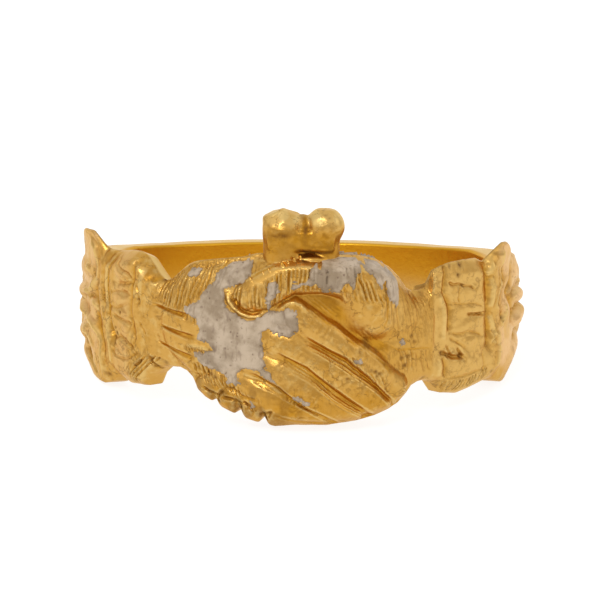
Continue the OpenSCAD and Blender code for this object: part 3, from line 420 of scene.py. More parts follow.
# Small pits: angle, z and the other columns of HAND_PITS, their darkness again dirt and painted shade
CUFF_PITS = [
    (40.5, 3.08, 0.09, 0.06, 0.6), (42.6, 3.09, 0.1, 0.07, 0.8), (46.7, 3.05, 0.13, 0.09, 0.9),
    (45.2, 2.63, 0.11, 0.08, 0.9), (47.2, 2.08, 0.08, 0.06, 0.8), (42.3, 2.27, 0.07, 0.05, 0.6),
    (50.9, 1.95, 0.06, 0.05, 0.7), (39.4, -0.84, 0.1, 0.1, 1), (41.9, -1.03, 0.09, 0.07, 0.8),
    (47.1, -1.18, 0.09, 0.08, 0.9), (43.7, -0.88, 0.07, 0.06, 0.6), (66.4, 0.13, 0.1, 0.08, 0.8),
    (62.1, -0.58, 0.07, 0.06, 0.9), (64.6, -0.93, 0.06, 0.05, 0.9), (58.3, 2.10, 0.07, 0.05, 0.5),
    (60.0, 1.83, 0.06, 0.05, 0.5), (61.7, -2.20, 0.08, 0.05, 0.6), (64.2, -2.13, 0.07, 0.05, 0.6),
    (40.3, -2.42, 0.08, 0.05, 0.7), (-56.0, 0.54, 0.07, 0.06, 0.9), (-59.0, -0.24, 0.06, 0.06, 0.9),
    (-58.4, -0.50, 0.08, 0.08, 1), (-63.6, 1.02, 0.1, 0.08, 0.9), (-64.3, 1.60, 0.08, 0.05, 0.6),
    (-48.1, 1.33, 0.07, 0.06, 0.8), (-41.7, 2.30, 0.09, 0.09, 1), (-49.2, -0.44, 0.08, 0.05, 0.7),
    (-60.0, -0.96, 0.12, 0.09, 0.8), (-43.0, -1.63, 0.1, 0.08, 0.9), (-43.7, -1.33, 0.08, 0.07, 0.8),
    (-49.6, -1.79, 0.07, 0.05, 0.8), (-47.6, -1.55, 0.07, 0.05, 0.8), (-64.7, -2.58, 0.12, 0.07, 0.7),
    (-80.7, 0.66, 0.07, 0.06, 0.8), (-39.1, -1.04, 0.08, 0.06, 0.7), (-37.8, -1.19, 0.07, 0.05, 0.7),
    (-50.2, 2.94, 0.06, 0.04, 0.6), (-49.0, 2.92, 0.06, 0.04, 0.6), (-79.0, -2.0, 0.1, 0.03, 0.9),
    (-76.7, -2.14, 0.11, 0.03, 1), (-74.6, -2.35, 0.11, 0.03, 1), (-72.6, -2.6, 0.09, 0.03, 0.8),
    (-41.2, -1.15, 0.2, 0.03, 0.5), (-39.8, -1.45, 0.15, 0.03, 0.5), (-42.0, -0.85, 0.1, 0.03, 0.6),
    (-40.6, -1.75, 0.12, 0.04, 0.6), (-46.2, 2.5, 0.3, 0.0, 0.4), (-60.6, -0.7, 0.12, 0.05, 0.9),
    (-60.3, -0.45, 0.14, 0.0, 0.7), (-44.3, 2.35, 0.12, 0.03, 0.5),
]
# Areas of cut strokes: line along the middle, half width, spacing, slant, depth
CUFF_STROKES = [
    ([(-51.3, -2.20), (-47.6, -1.60), (-43.8, -1.10), (-40.2, -0.83)], 0.5, 0.26, -1, 0.1),
    ([(39.6, -2.36), (42.7, -2.43), (47.3, -2.48), (52.3, -2.37), (57.9, -2.19)], 0.28, 0.22, -0.3, 0.12),
    ([(-47.3, 1.31), (-45.3, 0.66), (-44.5, -0.24)], 0.35, 0.22, 0.3, 0.02),
    ([(59.1, 0.70), (59.7, -0.24), (59.3, -0.93)], 0.18, 0.12, 0.1, 0.03),
]

# Scrolls of the shoulders behind the part that the front shows, drawn for the right side and mirrored
# to the left. Rows: angle, z, half width, share of the scroll height
SCROLLS = [
    [(72, 2.5, 0.42, 0.9), (76, 1.5, 0.42, 1), (81, 0.9, 0.4, 1), (85, 1.3, 0.36, 0.9),
     (83.5, 1.9, 0.3, 0.8)],
    [(70, -1.7, 0.42, 0.9), (75.5, -0.7, 0.4, 1), (82, -0.2, 0.38, 1), (87, -0.7, 0.36, 0.9),
     (85, -1.4, 0.3, 0.8)],
    [(88, 1.9, 0.4, 0.8), (92, 1.1, 0.42, 0.9), (98, 0.6, 0.4, 0.8)],
    [(89, -1.8, 0.4, 0.8), (93, -1.0, 0.42, 0.9), (98, -0.5, 0.4, 0.8)],
    [(97, 1.4, 0.35, 0.7), (102, 0.8, 0.36, 0.8), (107, 0.4, 0.34, 0.7)],
    [(97, -1.35, 0.35, 0.7), (102, -0.75, 0.36, 0.8), (107, -0.4, 0.34, 0.7)],
    [(92, 0, 0.34, 0.8), (106, 0, 0.36, 0.9), (120, 0, 0.28, 0.4)],
]

# Enamel: width of the border that dips into the gold, and outlines as x and z
BORDER = 0.16
ENAMEL_HAND = [
    [(-2.29, 3.70), (-2.32, 3.17), (-2.61, 2.78), (-3.12, 2.49), (-3.53, 2.38), (-3.49, 1.79), (-3.04, 1.36),
     (-2.60, 1.12), (-2.09, 1.03), (-1.76, 1.24), (-1.58, 1.43), (-1.32, 1.59), (-0.99, 1.52), (-0.62, 1.61),
     (-0.26, 1.58), (-0.25, 1.20), (-0.11, 0.90), (-0.18, 0.63), (-0.54, 0.37), (-0.84, 0.44), (-1.24, 0.54),
     (-1.54, 0.68), (-1.72, 0.49), (-1.78, 0.18), (-1.75, -0.26), (-1.71, -0.56), (-1.67, -1.05),
     (-1.41, -1.30), (-1.04, -1.86), (-1.40, -1.60), (-1.70, -1.43), (-2.07, -1.21), (-2.51, -1.24),
     (-2.80, -1.37), (-2.87, -1.56), (-2.73, -1.89), (-3.02, -1.98), (-3.32, -1.89), (-3.61, -1.54),
     (-3.98, -1.41), (-4.65, -1.25), (-4.84, -1.04), (-4.99, -0.64), (-4.50, -0.58), (-3.99, -0.43),
     (-4.25, -0.15), (-4.77, -0.07), (-4.80, 0.19), (-4.66, 0.47), (-4.85, 0.91), (-5.37, 1.15),
     (-5.33, 1.42), (-4.67, 1.83), (-4.49, 2.23), (-4.15, 2.52), (-4.01, 2.99), (-3.64, 3.32), (-3.42, 3.52)],
]
ENAMEL_THUMB = [
    [(0.81, 3.89), (1.16, 3.97), (1.62, 4.08), (2.16, 4.11), (2.62, 4.09), (2.77, 3.89), (2.93, 3.72),
     (3.47, 3.65), (3.70, 3.43), (4.09, 3.21), (4.29, 2.83), (4.37, 2.42), (4.26, 1.81), (4.00, 1.59),
     (3.80, 1.89), (3.68, 2.34), (3.55, 2.76), (3.17, 3.06), (2.74, 3.28), (2.36, 3.33), (2.25, 2.73),
     (2.17, 2.57), (1.94, 2.57), (1.63, 2.34), (1.17, 2.38), (0.63, 2.51), (-0.14, 2.51), (-0.37, 2.58),
     (-0.29, 2.95), (0.24, 3.16), (0.51, 3.44), (0.78, 3.68)],
]
ENAMEL_FLECKS = [
    [(-1.52, 1.50), (-1.63, 1.91), (-1.50, 2.25), (-1.50, 2.74), (-1.29, 2.90), (-0.97, 2.75), (-0.93, 2.42),
     (-1.24, 2.15), (-1.35, 1.96), (-1.28, 1.65)],
    [(-5.49, 2.90), (-5.33, 3.04), (-5.05, 3.10), (-4.82, 3.08), (-4.87, 2.90), (-5.10, 2.70), (-5.33, 2.70)],
    [(-0.32, -2.32), (-0.10, -2.30), (0.13, -2.46), (0.35, -2.59), (0.40, -2.80), (0.17, -2.82),
     (-0.09, -2.64), (-0.27, -2.51)],
    [(-2.31, -2.71), (-2.09, -2.67), (-2.08, -2.95), (-2.25, -3.03)],
    [(4.45, 0.06), (4.64, 0.07), (4.74, -0.10), (4.60, -0.25), (4.46, -0.17)],
    [(2.37, -0.76), (2.59, -0.70), (2.73, -0.87), (2.55, -0.98)],
]

# Studio. Lights: name, direction from the ring, spread in degrees, share of the key light's strength
WHITE = (1, 1, 1, 1)
LIGHTS = [
    ("key_above", (-0.3, -0.75, 1.0), 20, 1.0),
    ("fill_left", (-1.0, -0.5, 0.45), 40, 0.22),
    ("fill_right", (1.0, -0.3, 0.5), 40, 0.25),
]
# The photograph's middle lies 2 pixels left of and 4 above the ring's middle, out of 600
PICTURE_SHIFT = (-2 / 600, 4 / 600)

# Settings that properties of one kind share
LENGTH = {"precision": 6, "unit": "LENGTH"}
SHARE = {"min": 0, "subtype": "FACTOR"}
COLOUR = {"subtype": "COLOR", "size": 4, "min": 0, "max": 1}


class FedeRingSizes(bpy.types.PropertyGroup):
    """Sizes of the carved ring, its pellets and its enamel"""

    bore_radius: FloatProperty(
        name="Finger Hole Radius", description="Radius of the finger hole, from the bore of the solids",
        default=BORE_RADIUS, min=0.008, max=0.009, **LENGTH)
    rim_rounding: FloatProperty(
        name="Rim Rounding", description="Rounding of the worn outer rims",
        default=0.00012, min=0, max=0.0003, **LENGTH)
    finger_relief: FloatProperty(
        name="Finger Relief", description="Share of the full depth of the grooves between the fingers",
        default=0.9, max=1.5, **SHARE)
    stroke_relief: FloatProperty(
        name="Stroke Relief", description="Share of the full depth of the cut strokes",
        default=1.3, max=2, **SHARE)
    scroll_height: FloatProperty(
        name="Scroll Height", description="How far the leaf scrolls stand out",
        default=0.00024, min=0.0001, max=0.0004, **LENGTH)
    wear: FloatProperty(
        name="Wear", description="Depth of the small dents and cracks of long wear",
        default=0.000028, min=0, max=0.00006, **LENGTH)
    pellet_radius: FloatProperty(
        name="Pellet Radius", description="Radius of the round pellet",
        default=0.00088, min=0.0007, max=0.00094, **LENGTH)
    stump_radius: FloatProperty(
        name="Stump Radius", description="Radius of the faceted pellet's upright side",
        default=0.0009, min=0.0007, max=0.00094, **LENGTH)
    pellet_height: FloatProperty(
        name="Pellet Height", description="Height of the pellets' middles above the middle of the hands",
        default=0.0052, min=0.005, max=0.0054, **LENGTH)
    pellet_ring: FloatProperty(
        name="Pellet Ring", description="Radius on which the pellets stand",
        default=0.0095, min=0.0092, max=0.0098, **LENGTH)
    pellet_grain: FloatProperty(
        name="Pellet Grain", description="Spacing of the points on the pellets' skin",
        default=0.00007, min=0.00003, max=0.0002, **LENGTH)
    bead_spacing: FloatProperty(
        name="Bead Spacing", description="Distance between the beads on the thumb's crest",
        default=0.0003, min=0.0001, max=0.0004, **LENGTH)
    bead_radius: FloatProperty(
        name="Bead Radius", description="Radius of those beads",
        default=0.00011, min=0.00005, max=0.0002, **LENGTH)
    enamel_thickness: FloatProperty(
        name="Enamel Thickness", description="Thickness of the enamel over the gold",
        default=0.0001, min=0.00004, max=0.0002, **LENGTH)
    enamel_step: FloatProperty(
        name="Enamel Step", description="Spacing of the points of the enamel's surface",
        default=0.00005, min=0.00003, max=0.0001, **LENGTH)
    seed: IntProperty(name="Seed", description="Seed of all irregular wear", default=7, min=0)


class FedeRingColours(bpy.types.PropertyGroup):
    """Colours and gloss of the gold and the enamel, with the gold's painted shade, reflection and highlight
    colours
    """

    worn_gold: FloatVectorProperty(
        name="Worn Gold", description="Gold where wear keeps it bright",
        default=(0.615, 0.348, 0.084, 1), **COLOUR)
    # Painted shade: the darker orange of hollows, grooves, cuts and lower parts, also used for random stains
    deep_gold: FloatVectorProperty(
        name="Deep Gold", description="Gold in the hollows",
        default=(0.52, 0.245, 0.022, 1), **COLOUR)
    blush_gold: FloatVectorProperty(
        name="Blush Gold", description="Rosy gold of the outer scrolls",
        default=(0.745, 0.475, 0.23, 1), **COLOUR)
    # Painted reflection: the finger hole's deeper orange stands in for gold reflecting gold, strongest
    # towards the upper rim
    inner_gold: FloatVectorProperty(
        name="Inner Gold", description="Bright orange gold of the finger hole",
        default=(0.68, 0.35, 0.02, 1), **COLOUR)
    # Partly rubbed wear, partly painted highlight on raised points, welts, the upper rim and the pellets'
    # tops, and a painted reflection of the floor low in the finger hole
    polished_gold: FloatVectorProperty(
        name="Polished Gold", description="Paler gold of rubbed ridges and rims",
        default=(0.71, 0.48, 0.168, 1), **COLOUR)
    edge_tint: FloatVectorProperty(
        name="Edge Tint", description="Tint of the gold at glancing angles",
        default=(1.0, 0.9, 0.7, 1), **COLOUR)
    # Dark dirt in cracks, specks and hair lines, and painted shade in creases, cut strokes, pits, under the
    # thumb, along the hands' lower edge, round the pellets and in the torn corner
    grime: FloatVectorProperty(
        name="Grime", description="Dark residue in pits and cracks",
        default=(0.10, 0.034, 0.010, 1), **COLOUR)
    gold_roughness: FloatProperty(
        name="Gold Roughness", description="Roughness of the satin gold", default=0.33, max=1, **SHARE)
    enamel_white: FloatVectorProperty(
        name="Enamel White", description="Greyish white of the worn enamel",
        default=(0.51, 0.40, 0.285, 1), **COLOUR)
    enamel_shadow: FloatVectorProperty(
        name="Enamel Shadow", description="Darker clouds in the enamel",
        default=(0.29, 0.21, 0.13, 1), **COLOUR)
    enamel_specks: FloatVectorProperty(
        name="Enamel Specks", description="Brown specks and streaks in the enamel",
        default=(0.14, 0.08, 0.045, 1), **COLOUR)
    enamel_roughness: FloatProperty(
        name="Enamel Roughness", description="Roughness of the weathered enamel", default=0.5, max=1, **SHARE)


class FedeRingStudio(bpy.types.PropertyGroup):
    """Camera, lights and floor"""

    camera_distance: FloatProperty(
        name="Camera Distance", description="Distance of the camera from the ring's middle",
        default=0.35, min=0.1, max=2, unit="LENGTH")
    view_over_ring: FloatProperty(
        name="View over the Ring", description="Angle of the view to the ring's own plane",
        default=math.radians(10), min=0, max=1.2, subtype="ANGLE")
    focal_length: FloatProperty(
        name="Focal Length", description="Lens of the camera on a 36 mm sensor",
        default=454.9, min=50, max=900, unit="CAMERA")
    camera_turn: FloatProperty(
        name="Camera Turn", description="Turn of the picture about the line of view",
        default=math.radians(0.5), min=-0.2, max=0.2, subtype="ANGLE")
    room_light: FloatProperty(
        name="Room Light", description="Strength of the even light from the sides",
        default=0.52, min=0, max=5)
    room_colour: FloatVectorProperty(
        name="Room Colour", description="Warm colour of the light from the sides",
        default=(1.0, 0.86, 0.64, 1), **COLOUR)
    tent_light: FloatProperty(
        name="Tent Light", description="Strength of the even light from above",
        default=0.9, min=0, max=5)
    backdrop_light: FloatProperty(
        name="Backdrop Light", description="Strength of the white backdrop behind the ring",
        default=1.0, min=0, max=5)
    floor_glow: FloatProperty(
        name="Floor Glow", description="Light of the floor itself, as on a light table",
        default=0.86, min=0, max=2)
    key_light: FloatProperty(
        name="Key Light", description="Strength of the wide soft light above",
        default=0.8, min=0, max=20)
    floor_colour: FloatVectorProperty(
        name="Floor", description="Colour of the pale floor",
        default=(0.22, 0.22, 0.22, 1), **COLOUR)


def clamp01(t):
    return np.clip(t, 0.0, 1.0)


def ease(low, high, t):
    """Smooth step from 0 at low to 1 at high."""
    t = clamp01((t - low) / (high - low))
    return t * t * (3 - 2 * t)


def larger(a, b, k):
    """The larger of both, blended where they are closer than k."""
    h = np.maximum(k - np.abs(a - b), 0) / k
    return np.maximum(a, b) + h * h * k * 0.25


def smaller(a, b, k):
    return -larger(-a, -b, k)


def bell(d):
    """1 in the middle, fading out over a distance of about 2."""
    return np.exp(-d * d)


def scatter(i, j, seed):
    """Even random number from 0 to 1 for each pair of whole numbers."""
    h = (i.astype(np.int64) * 374761393 + j.astype(np.int64) * 668265263 + seed * 974634777) & 0xFFFFFFFF
    h = ((h ^ (h >> 13)) * 1274126177) & 0xFFFFFFFF
    h = ((h ^ (h >> 16)) * 2246822519) & 0xFFFFFFFF
    return ((h ^ (h >> 15)) & 0xFFFFFF) / float(0xFFFFFF)


def noise(u, v, seed):
    """Smooth random field from 0 to 1 with a grain of one unit."""
    i, j = np.floor(u), np.floor(v)
    fu, fv = u - i, v - j
    fu, fv = fu * fu * (3 - 2 * fu), fv * fv * (3 - 2 * fv)
    low = scatter(i, j, seed) * (1 - fu) + scatter(i + 1, j, seed) * fu
    high = scatter(i, j + 1, seed) * (1 - fu) + scatter(i + 1, j + 1, seed) * fu
    return low * (1 - fv) + high * fv


def clouds(u, v, seed, steps=3):
    """Several sizes of noise on top of each other, from -1 to 1."""
    total, weight = 0.0, 0.0
    for k in range(steps):
        total = total + (noise(u * 2**k, v * 2**k, seed + 31 * k) * 2 - 1) * 0.5**k
        weight += 0.5**k
    return total / weight


def follow(x, z, line):
    """Distance to a line, signed distance that is positive on its left, and share of its length."""
    points = np.array(line, float)
    steps = np.diff(points, axis=0)
    lengths = np.hypot(steps[:, 0], steps[:, 1])
    total, done = lengths.sum(), 0.0
    best = np.full(x.shape, 1e9)
    side = np.zeros(x.shape)
    share = np.zeros(x.shape)
    for (px, pz), (dx, dz), length in zip(points[:-1], steps, lengths):
        t = clamp01(((x - px) * dx + (z - pz) * dz) / (length * length))
        ox, oz = x - (px + t * dx), z - (pz + t * dz)
        d = np.hypot(ox, oz)
        near = d < best
        cross = (dx * (z - pz) - dz * (x - px)) / length
        best = np.where(near, d, best)
        side = np.where(near, np.sign(cross) * d, side)
        share = np.where(near, (done + t * length) / total, share)
        done += length
    return best, side, share


def ridge(x, z, chain, base, fullness, widen=1.0):
    """Radius of a rounded chain of rows x, z, half width, crest. Falls away below base outside it."""
    height = np.full(x.shape, -1e9)
    for (x0, z0, w0, r0), (x1, z1, w1, r1) in zip(chain[:-1], chain[1:]):
        dx, dz = x1 - x0, z1 - z0
        t = clamp01(((x - x0) * dx + (z - z0) * dz) / (dx * dx + dz * dz))
        width = (w0 + (w1 - w0) * t) * widen
        d = np.hypot(x - (x0 + t * dx), z - (z0 + t * dz)) / width
        crest = r0 + (r1 - r0) * t
        inside = base + (crest - base) * np.maximum(1 - d * d, 0) ** fullness
        height = np.maximum(height, np.where(d < 1, inside, base - (d - 1) * width))
    return height


def cut_line(x, z, line, width):
    """Share of a narrow cut or welt at each point, tapered at both ends."""
    d, _, t = follow(x, z, line)
    uneven = 0.7 + 0.45 * noise(x * 1.7, z * 1.7, 61) + 0.15 * noise(x * 6, z * 6, 62)
    taper = 0.3 + 0.7 * ease(0, 0.15, t) * ease(0, 0.15, 1 - t)
    return bell(d / (width * uneven)) * taper * clamp01(uneven)


def strokes(x, z, spacing, slant, seed):
    """Uneven strokes cut side by side. 1 is the bottom of a stroke."""
    wobble = 0.9 * noise(x * 0.9, z * 0.8, seed) + 0.4 * noise(x * 2.6, z * 1.8, seed + 1)
    phase = (x + slant * z) / spacing + wobble
    index = np.floor(phase)
    part = phase - index
    strength = scatter(index, index * 0, seed + 2)
    broken = ease(0.2, 0.6, noise(index * 5.3 + 0.5, z * 1.1, seed + 3))
    return bell((part - 0.5) / 0.24) * (0.3 + 0.7 * strength) * broken


def stroke_bands(x, z, bands, seed):
    """Depth of the strokes, and the areas that they cover."""
    cut, area = np.zeros(x.shape), np.zeros(x.shape)
    for k, (line, half, spacing, slant, depth) in enumerate(bands):
        d, _, _ = follow(x, z, line)
        d = d + 0.25 * half * (noise(x * 2.2, z * 2.2, seed + 40 + k) - 0.5)
        here = 1 - ease(0.65, 1.05, d / half)
        cut = cut + depth * strokes(x, z, spacing, slant, seed + 7 * k) * here
        area = np.maximum(area, here * ease(0.01, 0.05, depth))
    return cut, area


def pits(x, z, rows):
    """Depth of small single dents, and their darkness as dirt and painted shade."""
    cut, dark = np.zeros(x.shape), np.zeros(x.shape)
    for px, pz, radius, depth, stain in rows:
        d = np.hypot(x - px, z - pz) / radius
        d = d * (0.75 + 0.5 * noise(x / radius, z / radius, 5))
        cut = cut + depth * bell(d)
        dark = np.maximum(dark, stain * bell(d * 0.95))
    return cut, dark


def cracks(u, v, scale, seed):
    """Thin wandering cracks, 1 along their middle."""
    n = noise(u * scale, v * scale, seed) * 0.65 + noise(u * scale * 2.3, v * scale * 2.3, seed + 1) * 0.35
    gate = ease(0.5, 0.72, noise(u * scale * 0.6, v * scale * 0.6, seed + 2))
    return bell((n - 0.5) / 0.025) * gate


def finger_groove(x, z, upper, lower, depth, ridges, seed):
    """A groove that is deepest under its upper edge and rises to its lower one, with fine ridges along it.
    Gives its depth and its share of painted shade.
    """
    _, su, tu = follow(x, z, upper)
    _, sl, tl = follow(x, z, lower)
    below, above = -su, sl
    inside = (below > 0) & (above > 0)
    share = np.where(inside, below / np.maximum(below + above, 1e-6), 0)
    width = below + above
    ends = ease(-0.01, 0.22, tu) * ease(-0.01, 0.2, tl)
    fit = 1 - ease(0.9, 1.2, width)
    profile = ease(0, 0.24, share) * (1 - ease(0.2, 1.0, share))
    wander = 0.5 * noise(x * 1.3, z * 1.3, seed) + 0.25 * noise(x * 4, z * 4, seed + 1)
    fine = 0.5 - 0.5 * np.cos(2 * np.pi * (ridges * share + wander))
    patchy = 0.4 + 0.9 * noise(x * 1.7, z * 1.7, seed + 2)
    fine = fine * ease(0.1, 0.3, share) * (1 - ease(0.8, 1.0, share)) * patchy
    deep = inside * ends * fit
    return deep * (depth * profile + 0.045 * fine), deep * (0.85 * profile**0.7 + 0.3 * fine * profile)


def tendon_cut(x, z, start, end, first_width, last_width, depth):
    """Depth and share of a wedge cut between two tendons, with fine lines along it."""
    d, side, t = follow(x, z, [start, end])
    width = first_width + (last_width - first_width) * t
    share = ease(1.05, 0.2, d / width) * ease(0, 0.2, t) * ease(1.0, 0.75, t)
    fine = 0.5 + 0.5 * np.cos(side / width * 5)
    return share * (depth * (0.7 + 0.3 * ease(-0.5, 0.6, side / width)) + 0.02 * fine), share


def hand_forms(x, z, ground):
    """Radius of the rounded forms of both hands, and the distance above the fingers' crest line."""
    back = ridge(x, z, BACK_OF_HAND, ground, 0.62)
    dome = np.zeros(x.shape)
    for chain in FINGERS:
        dome = larger(dome, ridge(x, z, chain, FINGER_BASE, 0.4, 1.6), 0.1)
    palm = larger(ridge(x, z, PALM, ground, 0.6), ground, 0.05)
    _, above, _ = follow(x, z, FINGER_CREST)
    flank = ease(-0.1, 0.7, above) * 0.2 + ease(0.1, 1.3, above) * 0.5
    dome = larger(dome - flank * ease(-1.35, -0.85, x), palm, 0.08)
    form = larger(larger(back, dome, 0.08), larger(palm, ground, 0.05), 0.06)
    for chain in FINGERTIPS:
        form = larger(form, ridge(x, z, chain, ground, 0.42), 0.05)
    for chain in (RIGHT_HAND, HEEL_OF_HAND):
        form = larger(form, ridge(x, z, chain, ground, 0.75), 0.12)
    thumb = larger(ridge(x, z, THUMB, THUMB_BASE, 0.6), ridge(x, z, BALL_OF_THUMB, BALL_BASE, 1.0), 0.2)
    return larger(form, thumb, 0.05 + 0.35 * ease(1.2, 1.9, x)), above


def hands(x, z, ground, sizes):
    """Radius of the hands before the carving, its depth, painted shade of the hollows, dark dirt and painted
    shade, the welts that are painted paler, and stroked areas.
    """
    seed = sizes.seed
    form, above = hand_forms(x, z, ground)
    cut = np.zeros(x.shape)
    # Painted shade in the valley above the fingers' crest and in the palm under the thumb's edge
    valley = ease(0.05, 0.5, above) * ease(-1.1, -0.6, x) * ease(10.72, 10.4, form)
    _, over, _ = follow(x, z, THUMB_EDGE)
    inside = ease(0.0, -0.35, over) * ease(0.0, 0.15, above) * ease(-0.9, -0.3, x) * ease(4.5, 3.7, x)
    mottle = noise(x * 1.6 + z, z * 1.6 - x, seed + 90)
    hollow = np.maximum(valley * 0.45, inside * (0.55 + 0.4 * mottle))
    # Grooves, wedge cuts and creases are painted with shade; creases darker the deeper they are
    for k, (upper, lower, depth, ridges) in enumerate(FINGER_GROOVES):
        depth = depth * sizes.finger_relief
        depth_here, share = finger_groove(x, z, upper, lower, depth, ridges, seed + 100 + k)
        cut = cut + depth_here
        hollow = np.maximum(hollow, share * 0.85)
    for row in TENDON_CUTS:
        depth_here, share = tendon_cut(x, z, *row)
        cut = cut + depth_here
        hollow = np.maximum(hollow, share * 0.7)
    # Painted shade, darker up under the thumb's edge
    dark = inside * ease(1.4, 1.9, z) * (0.04 + 0.2 * mottle)
    for line, width, depth in HAND_CREASES:
        share = cut_line(x, z, line, width)
        cut = cut + depth * share
        hollow = np.maximum(hollow, share * 0.8)
        dark = np.maximum(dark, ease(0.5, 1, share) * ease(0.08, 0.16, depth) * 0.8)
    raised, bright = np.zeros(x.shape), np.zeros(x.shape)
    for line, width, height in HAND_WELTS:
        share = cut_line(x, z, line, width)
        raised = np.maximum(raised, height * share)
        bright = np.maximum(bright, ease(0.4, 0.9, share))
    hatch, area = stroke_bands(x, z, STROKE_BANDS, seed + 200)
    hatch = hatch * sizes.stroke_relief
    dents, spots = pits(x, z, HAND_PITS)
    fissures = cracks(x, z, 1.9, seed + 300) * (1 - ease(0.1, 0.3, hollow))
    wear = sizes.wear / MM
    rough = wear * (0.8 * clouds(x * 1.6, z * 1.6, seed + 310) + 0.45 * clouds(x * 5, z * 5, seed + 320, 2))
    carving = cut + hatch + dents + 0.9 * wear * fissures - raised + rough
    dark = np.maximum(dark, np.maximum(spots, fissures * 0.45))
    # Cut strokes painted darker by their depth, in patches, and painted with shade
    patchy = ease(0.3, 0.65, noise(x * 1.7, z * 1.7, seed + 330))
    dark = np.maximum(dark, 0.6 * ease(0.04, 0.11, hatch) * patchy)
    hollow = np.maximum(hollow, hatch * 9)
    return form, carving, hollow, dark, bright, area


def mirrored(rows):
    return [(-a, *rest) for a, *rest in rows]


def unroll(rows):
    """Rows that start with an angle, with millimetres round the ring in its place."""
    return [(math.radians(a) * ARC_R, *rest) for a, *rest in rows]


def cuff_forms(a, u, z, ground, sizes):
    """Radius of the soft lumps and the leaf scrolls, and the veins along the scrolls."""
    lumps = np.zeros(a.shape)
    uneven = 0.12 * (noise(u * 2.5, z * 2.5, sizes.seed + 401) - 0.5)
    for lump_u, lump_z, half_w, half_h, height, turn in unroll(CUFF_LUMPS):
        c, s = math.cos(math.radians(turn)), math.sin(math.radians(turn))
        du, dz = u - lump_u, z - lump_z
        d = np.hypot((du * c + dz * s) / half_w, (dz * c - du * s) / half_h) + uneven
        lumps = larger(lumps, height * np.maximum(1 - d * d, 0) ** 0.7, 0.03)
    scroll_h = sizes.scroll_height / MM
    scrolls, veins = np.zeros(a.shape), np.zeros(a.shape)
    for chain in SCROLLS:
        for course in (unroll(chain), unroll(mirrored(chain))):
            here = ridge(u, z, course, 0.0, 0.62)
            scrolls = larger(scrolls, scroll_h * np.maximum(here, 0), 0.03)
            centre = [row[:2] for row in course]
            veins = np.maximum(veins, cut_line(u, z, centre, 0.07) * ease(*VEINS_FROM, np.abs(a)))
    return ground + larger(lumps, scrolls * ease(*SCROLLS_FROM, np.abs(a)), 0.05), veins


def cuffs_and_shoulders(a, z, ground, sizes):
    """The same as hands, for everything behind the wrists."""
    seed = sizes.seed
    u = np.radians(a) * ARC_R
    form, veins = cuff_forms(a, u, z, ground, sizes)
    # The veins along the scrolls are cut and painted with shade
    cut = 0.07 * veins
    hollow = 0.7 * veins
    dark = np.zeros(a.shape)
    # Creases are painted with shade, darker the deeper and narrower they are
    for line, width, depth in CUFF_CREASES:
        share = cut_line(u, z, unroll(line), width)
        cut = cut + depth * share
        hollow = np.maximum(hollow, share * (0.35 + 0.4 * ease(0.05, 0.2, depth)))
        dark = np.maximum(dark, ease(0.6, 1, share) * ease(0.1, 0.28, depth + 0.8 * (0.12 - width)) * 0.65)
    raised, bright = np.zeros(a.shape), np.zeros(a.shape)
    # Raised lines, painted paler as a highlight
    for line, width, height in CUFF_WELTS:
        d, _, t = follow(u, z, unroll(line))
        body = np.maximum(1 - (d / (width * 1.65)) ** 2, 0)
        ends = ease(0, 0.1, t) * ease(0, 0.1, 1 - t)
        raised = larger(raised, height * body * (0.5 + 0.5 * ends), 0.03)
        bright = np.maximum(bright, ease(0.55, 0.95, body) * ends)
    hatch, area = stroke_bands(u, z, [(unroll(row[0]), *row[1:]) for row in CUFF_STROKES], seed + 500)
    hatch = hatch * sizes.stroke_relief
    dents, spots = pits(u, z, unroll(CUFF_PITS))
    wear = sizes.wear / MM
    front = ease(*WEAR_TO, np.abs(a))
    fissures = cracks(u, z, 1.5, seed + 600) * front
    rough = 1.3 * clouds(u * 1.3, z * 1.3, seed + 610) + 0.5 * clouds(u * 4.5, z * 4.5, seed + 620, 2)
    rough = wear * rough * (0.45 + 0.55 * front)
    carving = cut + hatch + dents + 0.8 * wear * fissures - raised + rough
    dark = np.maximum(dark, np.maximum(spots, fissures * 0.4))
    # Cut strokes painted darker in patches, and painted with shade
    dark = np.maximum(dark, 0.55 * ease(0.03, 0.1, hatch) * ease(0.2, 0.6, noise(u * 2, z * 2, seed + 640)))
    hollow = np.maximum(hollow, hatch * 9)
    # The welts lose the painted shade
    hollow = hollow * (1 - 0.8 * bright)
    return form, carving, hollow * front, dark, bright * front, area


def section(a):
    """Edges and ground form of the ring at each angle."""
    angles, *columns = np.array(SECTIONS, float).T
    upper, lower, upper_r, lower_r, ground, rounding = (np.interp(a, angles, column) for column in columns)
    lift = np.zeros(a.shape)
    flare = np.zeros(a.shape)
    for tip, height, out, level_before, level_after, before, after in WINGS:
        d = a - tip
        beyond = np.where(d < 0, -d - level_before, d - level_after)
        share = clamp01(1 - np.maximum(beyond, 0) / np.where(d < 0, before, after)) ** 0.85
        lift = lift + height * share
        flare = flare + out * share
    for angle, depth, half in NOTCHES:
        lower = lower + depth * bell((a - angle) / half)
    return upper + lift, lower, upper_r, lower_r, ground, rounding, lift, flare


